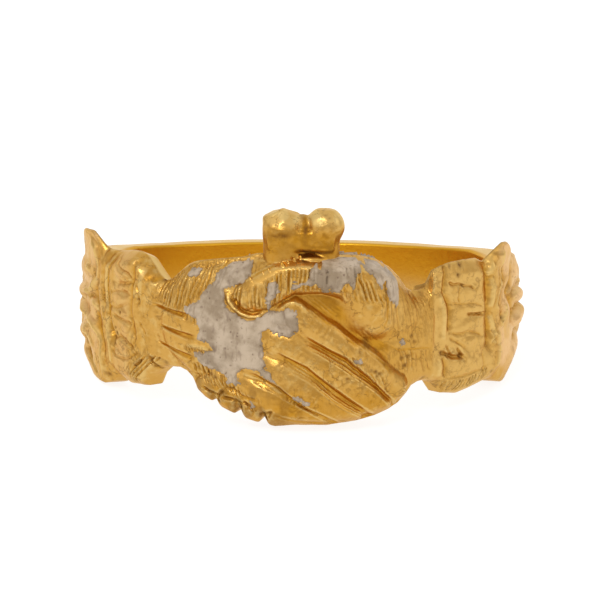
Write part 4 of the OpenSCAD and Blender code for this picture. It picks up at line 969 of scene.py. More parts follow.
def surface(a, z, sizes):
    """Radius, radius without the carving, painted shade of the hollows, dark dirt and painted shade, the
    welts painted paler, and stroked areas outside.
    """
    upper, lower, upper_r, lower_r, ground, rounding, _, flare = section(a)
    x = VIEW_R * np.sin(np.radians(a))
    past_hem = a - LEFT_HEM - 6 * ease(-1.0, -1.4, z) - 4 * ease(1.9, 2.3, z)
    in_front = ease(0.0, 1.0, past_hem) * ease(*RIGHT_HEM, a)
    form, carving, hollow, dark, bright, area = totals = [np.zeros(a.shape) for _ in range(6)]
    for mask, weight, across, carve in (
        (in_front > 0, in_front, x, hands),
        (in_front < 1, 1 - in_front, a, cuffs_and_shoulders),
    ):
        parts = carve(across[mask], z[mask], ground[mask], sizes)
        for total, part in zip(totals, parts):
            total[mask] += weight[mask] * part
    depth = np.minimum(upper - z, z - lower)
    edge = np.where(z > 0, upper_r + flare, lower_r)
    near = ease(0.0, 0.25, depth)
    share = np.sin(np.pi / 2 * clamp01(depth / rounding))
    smooth_r = edge + (form - edge) * share
    radius = smooth_r - carving * (0.3 + 0.7 * near) * ease(-0.02, 0.1, depth)
    rim = sizes.rim_rounding / MM
    drop = rim - np.sqrt(np.maximum(rim * rim - np.maximum(rim - depth, 0) ** 2, 0))
    return radius - drop, smooth_r - drop, clamp01(hollow), clamp01(dark), clamp01(bright), area


def place(a, r, z):
    """Points in metres, in the resting frame, from angles in degrees and sizes in millimetres."""
    a = np.radians(a)
    own = np.stack([r * np.sin(a), -r * np.cos(a), z], axis=-1) * MM
    return own @ np.array(REST_TURN).T


def ring_coordinates(points):
    """Angle, radius and height in millimetres of points in the resting frame."""
    own = points @ np.array(REST_TURN) / MM
    return np.degrees(np.arctan2(own[:, 0], -own[:, 1])), np.hypot(own[:, 0], own[:, 1]), own[:, 2]


def stitch(first, second):
    """Triangles between two columns of points, each given by its first index and its points' shares."""
    (i, shares_i), (j, shares_j) = first, second
    faces, a, b = [], 0, 0
    while a < len(shares_i) - 1 or b < len(shares_j) - 1:
        go_first = b == len(shares_j) - 1 or (a < len(shares_i) - 1 and shares_i[a + 1] <= shares_j[b + 1])
        if go_first:
            faces.append((i + a, j + b, i + a + 1))
            a += 1
        else:
            faces.append((i + a, j + b, j + b + 1))
            b += 1
    return faces


def link_object(name, data):
    obj = bpy.data.objects.new(name, data)
    bpy.context.scene.collection.objects.link(obj)
    return obj


def discard(obj):
    """Removes an object and its mesh."""
    used = obj.data
    bpy.data.objects.remove(obj)
    bpy.data.meshes.remove(used)


def evaluated_mesh(obj):
    """A new mesh of the object with its modifiers applied."""
    return bpy.data.meshes.new_from_object(obj.evaluated_get(bpy.context.evaluated_depsgraph_get()))


def new_mesh_object(name, points, faces):
    mesh = bpy.data.meshes.new(name)
    mesh.from_pydata([tuple(p) for p in points], [], [tuple(int(i) for i in f) for f in faces])
    mesh.validate()
    mesh.update()
    return link_object(name, mesh)


def outward_volume(obj):
    """Volume in cubic metres of a closed piece, below 0 if its faces point inwards."""
    bm = bmesh.new()
    bm.from_mesh(obj.data)
    volume = bm.calc_volume(signed=True)
    loose = [e for e in bm.edges if len(e.link_faces) != 2]
    bm.free()
    if loose:
        raise RuntimeError(f"{obj.name} has {len(loose)} open or doubled edges")
    return volume


def turn_outward(obj):
    """Makes every face of a closed piece point outwards."""
    if outward_volume(obj) < 0:
        obj.data.flip_normals()


def shade_smooth(obj):
    obj.data.polygons.foreach_set("use_smooth", np.ones(len(obj.data.polygons), bool))


def inner_loop(bore, top, z_top, bottom, z_bottom, fall, scoop):
    """Radius and height of the points over the upper rim, down the finger hole and over the lower rim."""
    loop = []
    for s in RIM_SHARES:
        fallen = fall * s + scoop * min(1, 3.3 * s)
        loop.append((top + (bore - top) * s, z_top - fallen - BORE_EDGE * max(0, s - 0.8)))
    high, low = z_top - fall - scoop - BORE_EDGE, z_bottom + BORE_EDGE
    loop += [(bore, high + (low - high) * s) for s in BORE_SHARES]
    for s in reversed(RIM_SHARES):
        loop.append((bottom + (bore - bottom) * s, z_bottom + BORE_EDGE * max(0, s - 0.8)))
    return loop


def carve_band(sizes):
    """The whole gold band as one closed mesh: carved outside, rounded rims, plain round finger hole."""
    bore = sizes.bore_radius / MM
    angles, counts = [], []
    for (start, step, rows), (end, *_) in zip(CUTS, CUTS[1:] + [(180,)]):
        n = math.ceil((end - start) / step)
        angles += [start + (end - start) * i / n for i in range(n)]
        counts += [rows] * n
    angles, counts = np.array(angles), np.array(counts)
    upper, lower, _, _, _, _, lift, _ = section(angles)
    worn = 0.03 * clouds(angles * 0.16, angles * 0, sizes.seed + 700) * (1 - ease(90, 120, np.abs(angles)))
    z_bottoms, z_tops = lower + worn, upper + worn * 0.8
    shares = []
    for n in counts:
        s = np.linspace(0, 1, n)
        shares.append(((1 - np.cos(np.pi * s)) / 2 * 0.6 + s * 1.4) / 2)
    starts = [int(n) for n in np.cumsum(counts) - counts]
    total = int(counts.sum())
    column = np.repeat(np.arange(len(angles)), counts)
    z_outside = z_bottoms[column] + (z_tops - z_bottoms)[column] * np.concatenate(shares)
    radius = surface(angles[column], z_outside, sizes)[0]
    fall = RIM_FALL * clamp01((115 - np.abs(angles)) / 20)
    scoop = 1.25 * lift + np.maximum(upper - 2.2, 0) * ease(36.1, 36.7, angles) * ease(56, 48, angles)
    tops, bottoms = radius[np.cumsum(counts) - 1], radius[starts]
    loops = np.array([inner_loop(bore, *row) for row in zip(tops, z_tops, bottoms, z_bottoms, fall, scoop)])
    per = loops.shape[1]
    outer = place(angles[column], radius, z_outside)
    inner = place(np.repeat(angles, per), loops[:, :, 0].ravel(), loops[:, :, 1].ravel())
    faces = []
    for k in range(len(angles)):
        m = (k + 1) % len(angles)
        faces += stitch((starts[k], shares[k]), (starts[m], shares[m]))
        here, there = (
            [starts[c] + counts[c] - 1, *range(total + c * per, total + (c + 1) * per), starts[c]]
            for c in (k, m)
        )
        faces += [(here[j], there[j], there[j + 1], here[j + 1]) for j in range(per + 1)]
    obj = new_mesh_object("gold_band", np.vstack([outer, inner]), faces)
    turn_outward(obj)
    return obj


def sphere_directions(level):
    """Directions spread evenly over a ball, and the triangles between them."""
    bm = bmesh.new()
    bmesh.ops.create_icosphere(bm, subdivisions=level, radius=1)
    directions = np.array([v.co.normalized() for v in bm.verts])
    faces = [[v.index for v in f.verts] for f in bm.faces]
    bm.free()
    return directions, faces


def pellet_solid(name, angle, height, ring_r, reach, level, seed, dents):
    """A closed solid round a point of the ring, whose surface lies at reach(direction) from that point."""
    directions, faces = sphere_directions(level)
    dx, dy, dz = directions.T
    r = reach(directions) + dents * clouds(dx * 2.3 + dz * 1.7, dy * 2.3 - dz, seed)
    radial = math.radians(angle)
    out = np.array([math.sin(radial), -math.cos(radial), 0])
    side = np.array([math.cos(radial), math.sin(radial), 0])
    up = np.array([0, 0, 1])
    local = directions * r[:, None]
    own = out * ring_r + height * up + local[:, :1] * side - local[:, 1:2] * out + local[:, 2:3] * up
    obj = new_mesh_object(name, (own * MM) @ np.array(REST_TURN).T, faces)
    turn_outward(obj)
    return obj


def plane_reach(d, normal, h):
    """Distance in each direction to a plane that lies h away along its normal."""
    along = d @ np.array(normal)
    return np.where(along > 1e-3, h / np.maximum(along, 1e-3), 1e3)


def side_reach(d, radius):
    """Distance in each direction to an upright round wall."""
    return radius / np.maximum(np.hypot(d[:, 0], d[:, 1]), 1e-3)


def tilted(turn_x, turn_y):
    """Upward direction after a turn to the front and a turn to the side."""
    forward = Matrix.Rotation(math.radians(turn_x), 3, "X") @ Vector((0, 0, 1))
    return list(Matrix.Rotation(math.radians(turn_y), 3, "Y") @ forward)


def fuse(solids, name, grain):
    """Melts closed solids into one worn mass whose skin has points about grain apart."""
    bm = bmesh.new()
    for solid in solids:
        bm.from_mesh(solid.data)
        discard(solid)
    mesh = bpy.data.meshes.new(name)
    bm.to_mesh(mesh)
    bm.free()
    obj = link_object(name, mesh)
    melt = obj.modifiers.new("Melt", "REMESH")
    melt.mode = "VOXEL"
    melt.voxel_size = grain
    soften = obj.modifiers.new("Soften", "SMOOTH")
    soften.factor = 0.5
    soften.iterations = 2
    melted = evaluated_mesh(obj)
    obj.modifiers.clear()
    obj.data = melted
    bpy.data.meshes.remove(mesh)
    turn_outward(obj)
    return obj


def cut_planes(d, start, rows, blend):
    """A reach cut by planes, each turned to the front and to the side and some way from the middle."""
    for turn_x, turn_y, away in rows:
        start = smaller(start, plane_reach(d, tilted(turn_x, turn_y), away), blend)
    return start


def make_pellets(sizes):
    """The faceted and the round pellet, fused by solder and wear, with an uneven foot on the hands."""
    height, ring_r = sizes.pellet_height / MM, sizes.pellet_ring / MM
    foot = height - FOOT_LEVEL
    ball_r, stump_r = sizes.pellet_radius / MM, sizes.stump_radius / MM

    def on_neck(d, head, neck_r, blend):
        neck = smaller(side_reach(d, neck_r), plane_reach(d, DOWN, foot), 0.05)
        return np.where(d[:, 2] < 0, larger(head, neck, blend), head)

    def ball(d):
        return on_neck(d, cut_planes(d, np.full(len(d), ball_r), BALL_FACETS, 0.04), ball_r * 0.74, 0.12)

    def stump(d):
        head = cut_planes(d, np.full(len(d), stump_r * 1.16), STUMP_FACETS, 0.035)
        head = smaller(head, side_reach(d, stump_r), 0.08)
        head = head - 0.09 * bell(np.hypot(d[:, 0] - 0.05, d[:, 2] + 0.1) / 0.3) * (d[:, 1] < 0)
        return on_neck(d, head, stump_r * 0.96, 0.08)

    def filling(d):
        return np.full(len(d), 0.5)

    def block(d):
        return cut_planes(d, np.full(len(d), 3.0), SOLDER_BLOCK, 0.25)

    def post(d):
        ends = np.where(d[:, 2] < 0, plane_reach(d, DOWN, 1.6), plane_reach(d, UP, 0.9))
        return smaller(side_reach(d, 0.5), ends, 0.05)

    def lump(wide, deep, tall):
        return lambda d: 1 / np.sqrt((d[:, 0] / wide) ** 2 + (d[:, 1] / deep) ** 2 + (d[:, 2] / tall) ** 2)

    # Angle, height, radius on the ring, form, fineness, seed, depth of the dents
    rows = {
        "round_pellet": (6.1, height + 0.02, ring_r, ball, 5, 1, 0.025),
        "faceted_pellet": (-5.45, height, ring_r, stump, 5, 2, 0.03),
        "solder_filling": (0.2, height + 0.06, ring_r - 0.05, filling, 5, 3, 0.08),
        "solder_block": (0.0, height - 0.62, ring_r, block, 5, 5, 0.1),
        "solder_post": (0.0, 4.0, ring_r - 0.1, post, 4, 4, 0.0),
        "left_lump": (-5.0, 3.95, ring_r + 0.05, lump(0.85, 0.8, 0.5), 5, 6, 0.06),
        "right_lump": (2.6, 3.78, ring_r + 0.05, lump(1.1, 0.8, 0.26), 5, 8, 0.06),
    }
    solids = [pellet_solid(name, *row[:5], sizes.seed + row[5], row[6]) for name, row in rows.items()]
    return fuse(solids, "pellets", sizes.pellet_grain)


def join_solids(base, parts):
    """Unites closed solids with base into one closed mesh and removes the parts."""
    for part in parts:
        modifier = base.modifiers.new("Unite", "BOOLEAN")
        modifier.operation = "UNION"
        modifier.solver = "MANIFOLD"
        modifier.object = part
        mesh = evaluated_mesh(base)
        base.modifiers.remove(modifier)
        old = base.data
        base.data = mesh
        bpy.data.meshes.remove(old)
        discard(part)
    if abs(outward_volume(base)) < SMALLEST_VOLUME:
        raise RuntimeError(f"uniting {base.name} left nothing")
    return base


def triangle_count(obj):
    return sum(len(p.vertices) - 2 for p in obj.data.polygons)


def socket(tree, name, kind, value, low=None, high=None):
    item = tree.interface.new_socket(name=name, in_out="INPUT", socket_type=kind)
    if value is not None:
        item.default_value = value
    if low is not None:
        item.min_value, item.max_value = low, high
    return item.identifier


def fill_inputs(tree, node, inputs):
    """Links each input of a node to an output, or sets it to a value."""
    for name, value in inputs.items():
        if isinstance(value, bpy.types.NodeSocket):
            tree.links.new(value, node.inputs[name])
        else:
            node.inputs[name].default_value = value


def add_node(tree, kind, inputs=None, **settings):
    node = tree.nodes.new(kind)
    for name, value in settings.items():
        setattr(node, name, value)
    fill_inputs(tree, node, inputs or {})
    return node


def combine(tree, operation, a, b, clamp=False):
    return add_node(tree, "ShaderNodeMath", {0: a, 1: b}, operation=operation, use_clamp=clamp).outputs[0]


def bead_tree():
    """Beads of uneven size along a curve."""
    tree = bpy.data.node_groups.new("Beads along a Crest", "GeometryNodeTree")
    ids = {
        "curve": socket(tree, "Crest", "NodeSocketGeometry", None),
        "spacing": socket(tree, "Spacing", "NodeSocketFloat", 0.00018, 0.00005, 0.001),
        "radius": socket(tree, "Radius", "NodeSocketFloat", 0.0001, 0.00002, 0.0005),
        "unevenness": socket(tree, "Unevenness", "NodeSocketFloat", 0.25, 0.0, 0.8),
        "seed": socket(tree, "Seed", "NodeSocketInt", 0, 0, 1000),
        "material": socket(tree, "Gold", "NodeSocketMaterial", None),
    }
    tree.interface.new_socket(name="Beads", in_out="OUTPUT", socket_type="NodeSocketGeometry")
    given = add_node(tree, "NodeGroupInput").outputs
    cut = add_node(tree, "GeometryNodeResampleCurve",
                   {"Curve": given["Crest"], "Length": given["Spacing"]}, mode="LENGTH")
    ball = add_node(tree, "GeometryNodeMeshIcoSphere", {"Radius": given["Radius"], "Subdivisions": 2})
    longer = add_node(tree, "GeometryNodeTransform", {"Geometry": ball.outputs["Mesh"], "Scale": BEAD_FORM})
    tangent = add_node(tree, "GeometryNodeInputTangent").outputs["Tangent"]
    turned = add_node(tree, "FunctionNodeAlignRotationToVector", {"Vector": tangent}, axis="X")
    low = combine(tree, "SUBTRACT", 1.0, given["Unevenness"])
    high = combine(tree, "ADD", 1.0, given["Unevenness"])
    size = add_node(tree, "FunctionNodeRandomValue",
                    {2: low, 3: high, "Seed": given["Seed"]}, data_type="FLOAT")
    spread = add_node(tree, "GeometryNodeInstanceOnPoints",
                      {"Points": cut.outputs["Curve"], "Instance": longer.outputs["Geometry"],
                       "Rotation": turned.outputs["Rotation"], "Scale": size.outputs[1]})
    real = add_node(tree, "GeometryNodeRealizeInstances", {"Geometry": spread.outputs["Instances"]})
    paint = add_node(tree, "GeometryNodeSetMaterial",
                     {"Geometry": real.outputs["Geometry"], "Material": given["Gold"]})
    add_node(tree, "NodeGroupOutput", {"Beads": paint.outputs["Geometry"]})
    return tree, ids


def make_beads(sizes, material):
    """The row of beads on the thumb's crest, as closed balls that are then united with the gold."""
    line = np.array(THUMB_CREST, float)
    share = np.linspace(0, 1, 60)
    along = np.concatenate([[0], np.cumsum(np.hypot(*np.diff(line, axis=0).T))])
    along /= along[-1]
    x, z = np.interp(share, along, line[:, 0]), np.interp(share, along, line[:, 1])
    angle = np.degrees(np.arcsin(x / VIEW_R))
    radius = surface(angle, z, sizes)[0]
    points = place(angle, radius - 0.9 * sizes.bead_radius / MM, z - 0.04)
    curve = bpy.data.curves.new("thumb_crest", "CURVE")
    curve.dimensions = "3D"
    spline = curve.splines.new("POLY")
    spline.points.add(len(points) - 1)
    for knot, point in zip(spline.points, points):
        knot.co = (*point, 1)
    holder = link_object("thumb_crest_beads", curve)
    tree, ids = bead_tree()
    modifier = holder.modifiers.new("Beads", "NODES")
    modifier.node_group = tree
    for name, value in (("spacing", sizes.bead_spacing), ("radius", sizes.bead_radius),
                        ("unevenness", 0.4), ("seed", sizes.seed), ("material", material)):
        modifier[ids[name]] = value
    mesh = evaluated_mesh(holder)
    bpy.data.objects.remove(holder)
    bpy.data.curves.remove(curve)
    bpy.data.node_groups.remove(tree)
    return link_object("thumb_crest_beads", mesh)


def set_attribute(mesh, name, values):
    attribute = mesh.attributes.get(name) or mesh.attributes.new(name, "FLOAT", "POINT")
    attribute.data.foreach_set("value", np.asarray(values, np.float32))


def mark_pellets(marks, x, r, z, upper, near, sizes):
    """Adds the pellets' wear, painted shade and painted highlight to the marks of the gold: shade between
    them, towards their foot, in the faceted one's dent and in the dark crease round their foot, a highlight
    on their tops.
    """
    hollow, dark, polish, area, aged = marks
    pellets = ease(-0.02, 0.1, z - upper) * near
    clear = 1 - pellets
    # Painted shade in the saddle between the pellets and in the crease round their foot
    between = bell((x - 0.12) / 0.13) * ease(6.0, 5.3, z)
    dents = ease(0.1, 0.5, clouds(x * 3.1, z * 3.1 + r * 2.0, sizes.seed + 850))
    crevice = bell((z - 4.17 + 0.08 * np.sin(x * 2.2)) / 0.09) * ease(-0.5, -0.1, x) * ease(1.5, 1.1, x)
    # Painted shade, darker towards the pellets' foot
    lower_shade = ease(5.35, 4.7, z)
    aged = np.maximum(aged, 0.8 * pellets)
    hollow = hollow * clear + pellets * clamp01(0.9 * between + 0.4 * dents + 0.6 * lower_shade + crevice)
    gap = between * (0.2 + 0.4 * noise(x * 9, z * 3, sizes.seed + 885))
    dark = dark * clear + pellets * clamp01(0.35 * dents * dents + 0.8 * crevice + gap)
    # Painted shade in the dent on the faceted pellet's front
    dent_shade = bell(np.hypot((x + 0.95) / 0.55, (z - 5.02 - 0.1 * x) / 0.17))
    dent_shade = dent_shade * (0.4 + 0.8 * noise(x * 5, z * 7, sizes.seed + 860))
    dark = np.maximum(dark, 0.85 * pellets * dent_shade)
    dark = np.maximum(dark, 0.16 * pellets * lower_shade * noise(x * 4, z * 4, sizes.seed + 880))
    hollow = np.maximum(hollow, pellets * clamp01(dent_shade))
    spots = sum(bell(np.hypot((x - sx) / wide, (z - sz) / 0.05)) for sx, sz, wide in PELLET_SPOTS)
    dark = np.maximum(dark, 0.5 * pellets * clamp01(spots))
    # Painted highlight on the pellets' upper facets
    facets = ease(0.45, 0.6, noise(x * 2.1 + z, z * 2.1 - x + 3, sizes.seed + 870))
    head = pellets * ease(5.15, 5.45, z) * (0.5 + 0.5 * facets) * ease(0.5, 0.1, between)
    polish = polish * clear + head * (1 - clamp01(dent_shade))
    area = np.maximum(area, pellets * clamp01(between + 0.6 * dent_shade))
    return hollow, dark, polish, area, aged


def mark_gold(obj, sizes):
    """Notes on each point of the gold its painted shade, its dark dirt and painted shade, its rubbed wear and
    painted highlight, and how rosy it is.
    """
    points = np.zeros(len(obj.data.vertices) * 3)
    obj.data.vertices.foreach_get("co", points)
    a, r, z = ring_coordinates(points.reshape(-1, 3))
    x = r * np.sin(np.radians(a))
    upper, lower = section(a)[:2]
    off_bore = r - sizes.bore_radius / MM
    radius, _, hollow, dark, bright, area = surface(a, z, sizes)
    # Points sunk below their neighbours are painted with shade, points standing above them paler as a painted
    # highlight
    step = 0.1
    turn = math.degrees(step / ARC_R)
    around = [surface(a + da, z + dz, sizes)[0] for da, dz in ((turn, 0), (-turn, 0), (0, step), (0, -step))]
    sunken = sum(around) / 4 - radius
    within = ease(0.12, 0.3, np.minimum(upper - z, z - lower))
    on_skin = ease(0.12, 0.05, np.abs(r - radius)) * ease(0.25, 0.5, off_bore)
    polish = np.maximum(0.8 * ease(0.006, 0.04, -sunken), 0.8 * bright) * within * on_skin
    sunken = ease(0.006, 0.04, sunken) * within * on_skin
    hollow, dark = np.maximum(hollow, 0.5 * sunken) * on_skin, dark * on_skin
    # Painted reflection in the finger hole: deeper orange towards the upper rim, paler low down as the
    # floor's reflection
    inner = ease(0.12, 0.04, off_bore)
    inside = inner * (0.3 + 0.7 * ease(-0.3, 0.6, z))
    aged = on_skin * ease(*AGED_TO, np.abs(a)) * (1 - 0.5 * ease(36, 42, a))
    polish = np.maximum(polish, 0.7 * inner * ease(0.75, 0.1, z))
    # Painted shade along the hands' lower edge, darker under the fingertips
    hollow = np.maximum(hollow, 0.6 * ease(-1.5, -2.8, z) * ease(50, 35, np.abs(a)) * on_skin)
    under = ease(-1.5, -2.2, z) * ease(-38, -34, a) * ease(6, -8, a) * on_skin
    dark = np.maximum(dark, under * 0.4 * ease(0.35, 0.7, noise(a * 0.5, z * 3, sizes.seed + 810)))
    # The upper rim, paler as rubbed wear and as a painted highlight, but for the torn corner, painted dark as
    # shade in the notch, and the stretch by the pellets
    rim = ease(0.05, 0.15, off_bore) * (1 - on_skin) * ease(-0.4, -0.1, z - upper) * (z - upper < 0.1)
    by_pellets = (np.abs(x) < PELLETS_REACH) * (np.abs(a) < PELLETS_ANGLE)
    torn = ease(*TORN_FROM, a) * ease(*TORN_TO, a)
    polish = np.maximum(polish, rim * (1 - by_pellets) * (1 - torn))
    dark = np.maximum(dark, torn * rim * (0.2 + 0.5 * noise(a * 1.3, z * 3, sizes.seed + 820)))
    hollow = np.maximum(hollow, torn * rim)
    # Painted shade on the solder that stands out of the hands below the pellets
    hollow = np.maximum(hollow, 0.45 * by_pellets * ease(0.1, 0.3, r - radius) * ease(3.2, 3.4, z))
    right_hand = ease(*RIGHT_HAND_FROM, a)
    polish = np.maximum(polish, 0.4 * right_hand * ease(66, 60, a) * on_skin * (1 - hollow))
    area = area * (1 - 0.4 * right_hand * ease(39, 36, a)) * on_skin
    marks = (hollow, dark, polish, area, aged)
    hollow, dark, polish, area, aged = mark_pellets(marks, x, r, z, upper, by_pellets, sizes)
    u = np.radians(a) * ARC_R
    scrolls = ease(*BLUSH_FROM, np.where(a < 0, -a - 4, a)) * ease(*BLUSH_TO, np.abs(a))
    blush = scrolls * on_skin * ease(9.8, 10.0, r)
    blush = np.maximum(blush, 0.5 * ease(-61, -58, a) * ease(-51, -54, a) * on_skin)
    blush = blush * (1 - 0.35 * (a < 0)) * (1 - 0.7 * hollow)
    blush = blush * (0.35 + 0.65 * ease(0.3, 0.6, noise(u * 1.4, z * 1.6, sizes.seed + 800)))
    for name, values in (("hollow", hollow), ("grime", dark), ("polish", polish), ("blush", blush),
                         ("strokes", area), ("aged", aged), ("inside", inside)):
        set_attribute(obj.data, name, clamp01(values))


def new_material(name):
    material = bpy.data.materials.new(name)
    material.use_nodes = True
    tree = material.node_tree
    tree.nodes.clear()
    shader = add_node(tree, "ShaderNodeBsdfPrincipled")
    add_node(tree, "ShaderNodeOutputMaterial", {"Surface": shader.outputs["BSDF"]})
    return material, tree, shader


def noise_texture(tree, where, scale, detail, roughness):
    inputs = {"Vector": where, "Scale": scale, "Detail": detail, "Roughness": roughness}
    return add_node(tree, "ShaderNodeTexNoise", inputs).outputs


def cell_texture(tree, where, scale, detail, feature="F1"):
    inputs = {"Vector": where, "Scale": scale, "Detail": detail, "Roughness": 0.55}
    return add_node(tree, "ShaderNodeTexVoronoi", inputs, feature=feature).outputs["Distance"]


def drawn_out(tree, where, along):
    """Coordinates whose textures are drawn out along the upright direction."""
    return add_node(tree, "ShaderNodeMapping", {"Vector": where, "Scale": (1, 1, along)}).outputs["Vector"]


def attribute(tree, name):
    return add_node(tree, "ShaderNodeAttribute", attribute_name=name).outputs["Fac"]


def remap(tree, value, low, high, to_low, to_high, smooth=False):
    inputs = {"Value": value, "From Min": low, "From Max": high, "To Min": to_low, "To Max": to_high}
    course = "SMOOTHSTEP" if smooth else "LINEAR"
    return add_node(tree, "ShaderNodeMapRange", inputs, interpolation_type=course).outputs["Result"]


def blend_colours(tree, factor, a, b):
    return add_node(tree, "ShaderNodeMix", {0: factor, 6: a, 7: b}, data_type="RGBA").outputs[2]


def worn_gold(colours):
    """Satin gold: pale where worn and where highlights are painted, orange where shade is painted into
    hollows, dark in pits and cracks with dirt and painted shade, with fine scratches.
    """
    material, tree, shader = new_material("worn_gold")
    join, ramp, mix = (partial(make, tree) for make in (combine, remap, blend_colours))
    where = add_node(tree, "ShaderNodeTexCoord").outputs["Object"]
    # deep is the painted shade of the hollows
    deep, aged = attribute(tree, "hollow"), attribute(tree, "aged")
    patches = noise_texture(tree, where, 700, 4, 0.65)["Fac"]
    fine = noise_texture(tree, where, 5600, 3, 0.6)
    grain = noise_texture(tree, where, 15000, 2, 0.5)["Fac"]
    rubbed = noise_texture(tree, where, 2300, 3, 0.6)["Fac"]
    # Hair lines in the stroked areas, a net of cracks on the aged gold, and specks
    hairs = noise_texture(tree, drawn_out(tree, where, 0.16), 9500, 2, 0.6)["Fac"]
    hair = join("MULTIPLY", ramp(hairs, 0.46, 0.62, 0, 1), attribute(tree, "strokes"))
    wander = add_node(tree, "ShaderNodeVectorMath", {0: fine["Color"], 1: (0.0005,) * 3, 2: where},
                      operation="MULTIPLY_ADD")
    net = cell_texture(tree, wander.outputs[0], 1250, 0, "DISTANCE_TO_EDGE")
    crack = join("MULTIPLY", ramp(net, 0.0, 0.038, 1, 0), ramp(patches, 0.46, 0.56, 0, 1))
    crack = join("MULTIPLY", crack, ramp(deep, 0.5, 0.8, 1, 0))
    crack = join("MULTIPLY", crack, aged)
    speck = join("MULTIPLY", ramp(cell_texture(tree, where, 3100, 3), 0.05, 0.16, 0.4, 0.0),
                 ramp(patches, 0.54, 0.66, 0, 1))
    speck = join("MULTIPLY", speck, ramp(deep, 0.7, 0.95, 1, 0))
    # Colour from the worn plateaus through the painted shade of the hollows down to the dark dirt and painted
    # shade
    stain = join("ADD", ramp(patches, 0.42, 0.7, 0, 0.45), ramp(fine["Fac"], 0.5, 0.75, 0, 0.12))
    colour = mix(join("ADD", deep, stain, True), colours.worn_gold, colours.deep_gold)
    colour = mix(attribute(tree, "blush"), colour, colours.blush_gold)
    # Paler where rubbed and where a highlight is painted; the finger hole gets its painted reflection
    shine = join("MULTIPLY", ramp(rubbed, 0.5, 0.66, 0, 0.55), ramp(deep, 0.1, 0.5, 1, 0))
    polish = join("MAXIMUM", attribute(tree, "polish"), join("MULTIPLY", shine, aged))
    colour = mix(polish, colour, colours.polished_gold)
    colour = mix(attribute(tree, "inside"), colour, colours.inner_gold)
    dark = join("MAXIMUM", attribute(tree, "grime"), speck)
    dark = join("MAXIMUM", dark, join("MULTIPLY", crack, 0.62))
    dark = join("MAXIMUM", dark, join("MULTIPLY", hair, 0.34))
    dark = join("MULTIPLY", dark, ramp(fine["Fac"], 0.3, 0.6, 0.6, 1.0))
    rough = ramp(fine["Fac"], 0.3, 0.7, colours.gold_roughness - 0.05, colours.gold_roughness + 0.06)
    height = join("ADD", join("MULTIPLY", fine["Fac"], 0.75), join("MULTIPLY", grain, 0.25))
    for cut, depth in ((speck, 0.5), (crack, 0.8), (hair, 2.0)):
        height = join("SUBTRACT", height, join("MULTIPLY", cut, depth))
    strength = ramp(deep, 0.85, 1.0, 0.36, 0.14)
    bump = add_node(tree, "ShaderNodeBump", {"Distance": 0.00004, "Strength": strength, "Height": height})
    fill_inputs(tree, shader, {
        "Base Color": mix(dark, colour, colours.grime),
        "Metallic": ramp(dark, 0.1, 0.9, 1.0, 0.15),
        "Specular IOR Level": 0.15,
        "Specular Tint": colours.edge_tint,
        "Roughness": join("ADD", rough, join("MULTIPLY", dark, 0.35), True),
        "Normal": bump.outputs["Normal"],
    })
    return material


def worn_enamel(colours):
    """Weathered white enamel: greyish, clouded, with brown specks and a slight gloss."""
    material, tree, shader = new_material("worn_enamel")
    join, ramp, mix = (partial(make, tree) for make in (combine, remap, blend_colours))
    where = add_node(tree, "ShaderNodeTexCoord").outputs["Object"]
    patches = noise_texture(tree, where, 900, 4, 0.6)["Fac"]
    fine = noise_texture(tree, where, 6000, 3, 0.65)["Fac"]
    streaks = noise_texture(tree, drawn_out(tree, where, 0.35), 4200, 2, 0.5)["Fac"]
    cloud = ramp(patches, 0.38, 0.66, 0, 1.0, True)
    cloud = join("ADD", cloud, join("MULTIPLY", attribute(tree, "thin"), 0.45), True)
    brown = ramp(cell_texture(tree, where, 4000, 0), 0.12, 0.34, 0.8, 0.0)
    brown = join("MULTIPLY", brown, ramp(fine, 0.5, 0.62, 0, 1))
    brown = join("MAXIMUM", brown, ramp(streaks, 0.58, 0.72, 0, 0.5))
    bump = add_node(tree, "ShaderNodeBump", {"Strength": 0.5, "Distance": 0.00003, "Height": fine})
    colour = mix(cloud, colours.enamel_white, colours.enamel_shadow)
    fill_inputs(tree, shader, {
        "Base Color": mix(brown, colour, colours.enamel_specks),
        "Roughness": ramp(fine, 0.3, 0.7, colours.enamel_roughness - 0.1, colours.enamel_roughness + 0.12),
        "Normal": bump.outputs["Normal"],
    })
    return material


def inside_outline(x, z, outline):
    """Signed distance to a closed outline, positive inside."""
    closed = outline + [outline[0]]
    d, _, _ = follow(x, z, closed)
    inside = np.zeros(x.shape, bool)
    for (x0, z0), (x1, z1) in zip(closed[:-1], closed[1:]):
        crosses = (z0 > z) != (z1 > z)
        reach = x0 + (z - z0) / ((z1 - z0) if z1 != z0 else 1e-9) * (x1 - x0)
        inside ^= crosses & (x < reach)
    return np.where(inside, d, -d)


def fill_corners(cell):
    """Fills grid cells until no two of them meet in a corner alone."""
    cell = cell.copy()
    while True:
        a, b, c, d = cell[:-1, :-1], cell[1:, 1:], cell[1:, :-1], cell[:-1, 1:]
        touching = (a & b & ~c & ~d) | (c & d & ~a & ~b)
        if not touching.any():
            return cell
        for i, j in zip(*np.nonzero(touching)):
            cell[i : i + 2, j : j + 2] = True


def open_edges(quads):
    """Directed edges that one quad alone has."""
    edges = {}
    for quad in quads:
        for p, q in zip(quad, quad[1:] + quad[:1]):
            if (q, p) in edges:
                del edges[(q, p)]
            else:
                edges[(p, q)] = True
    return edges


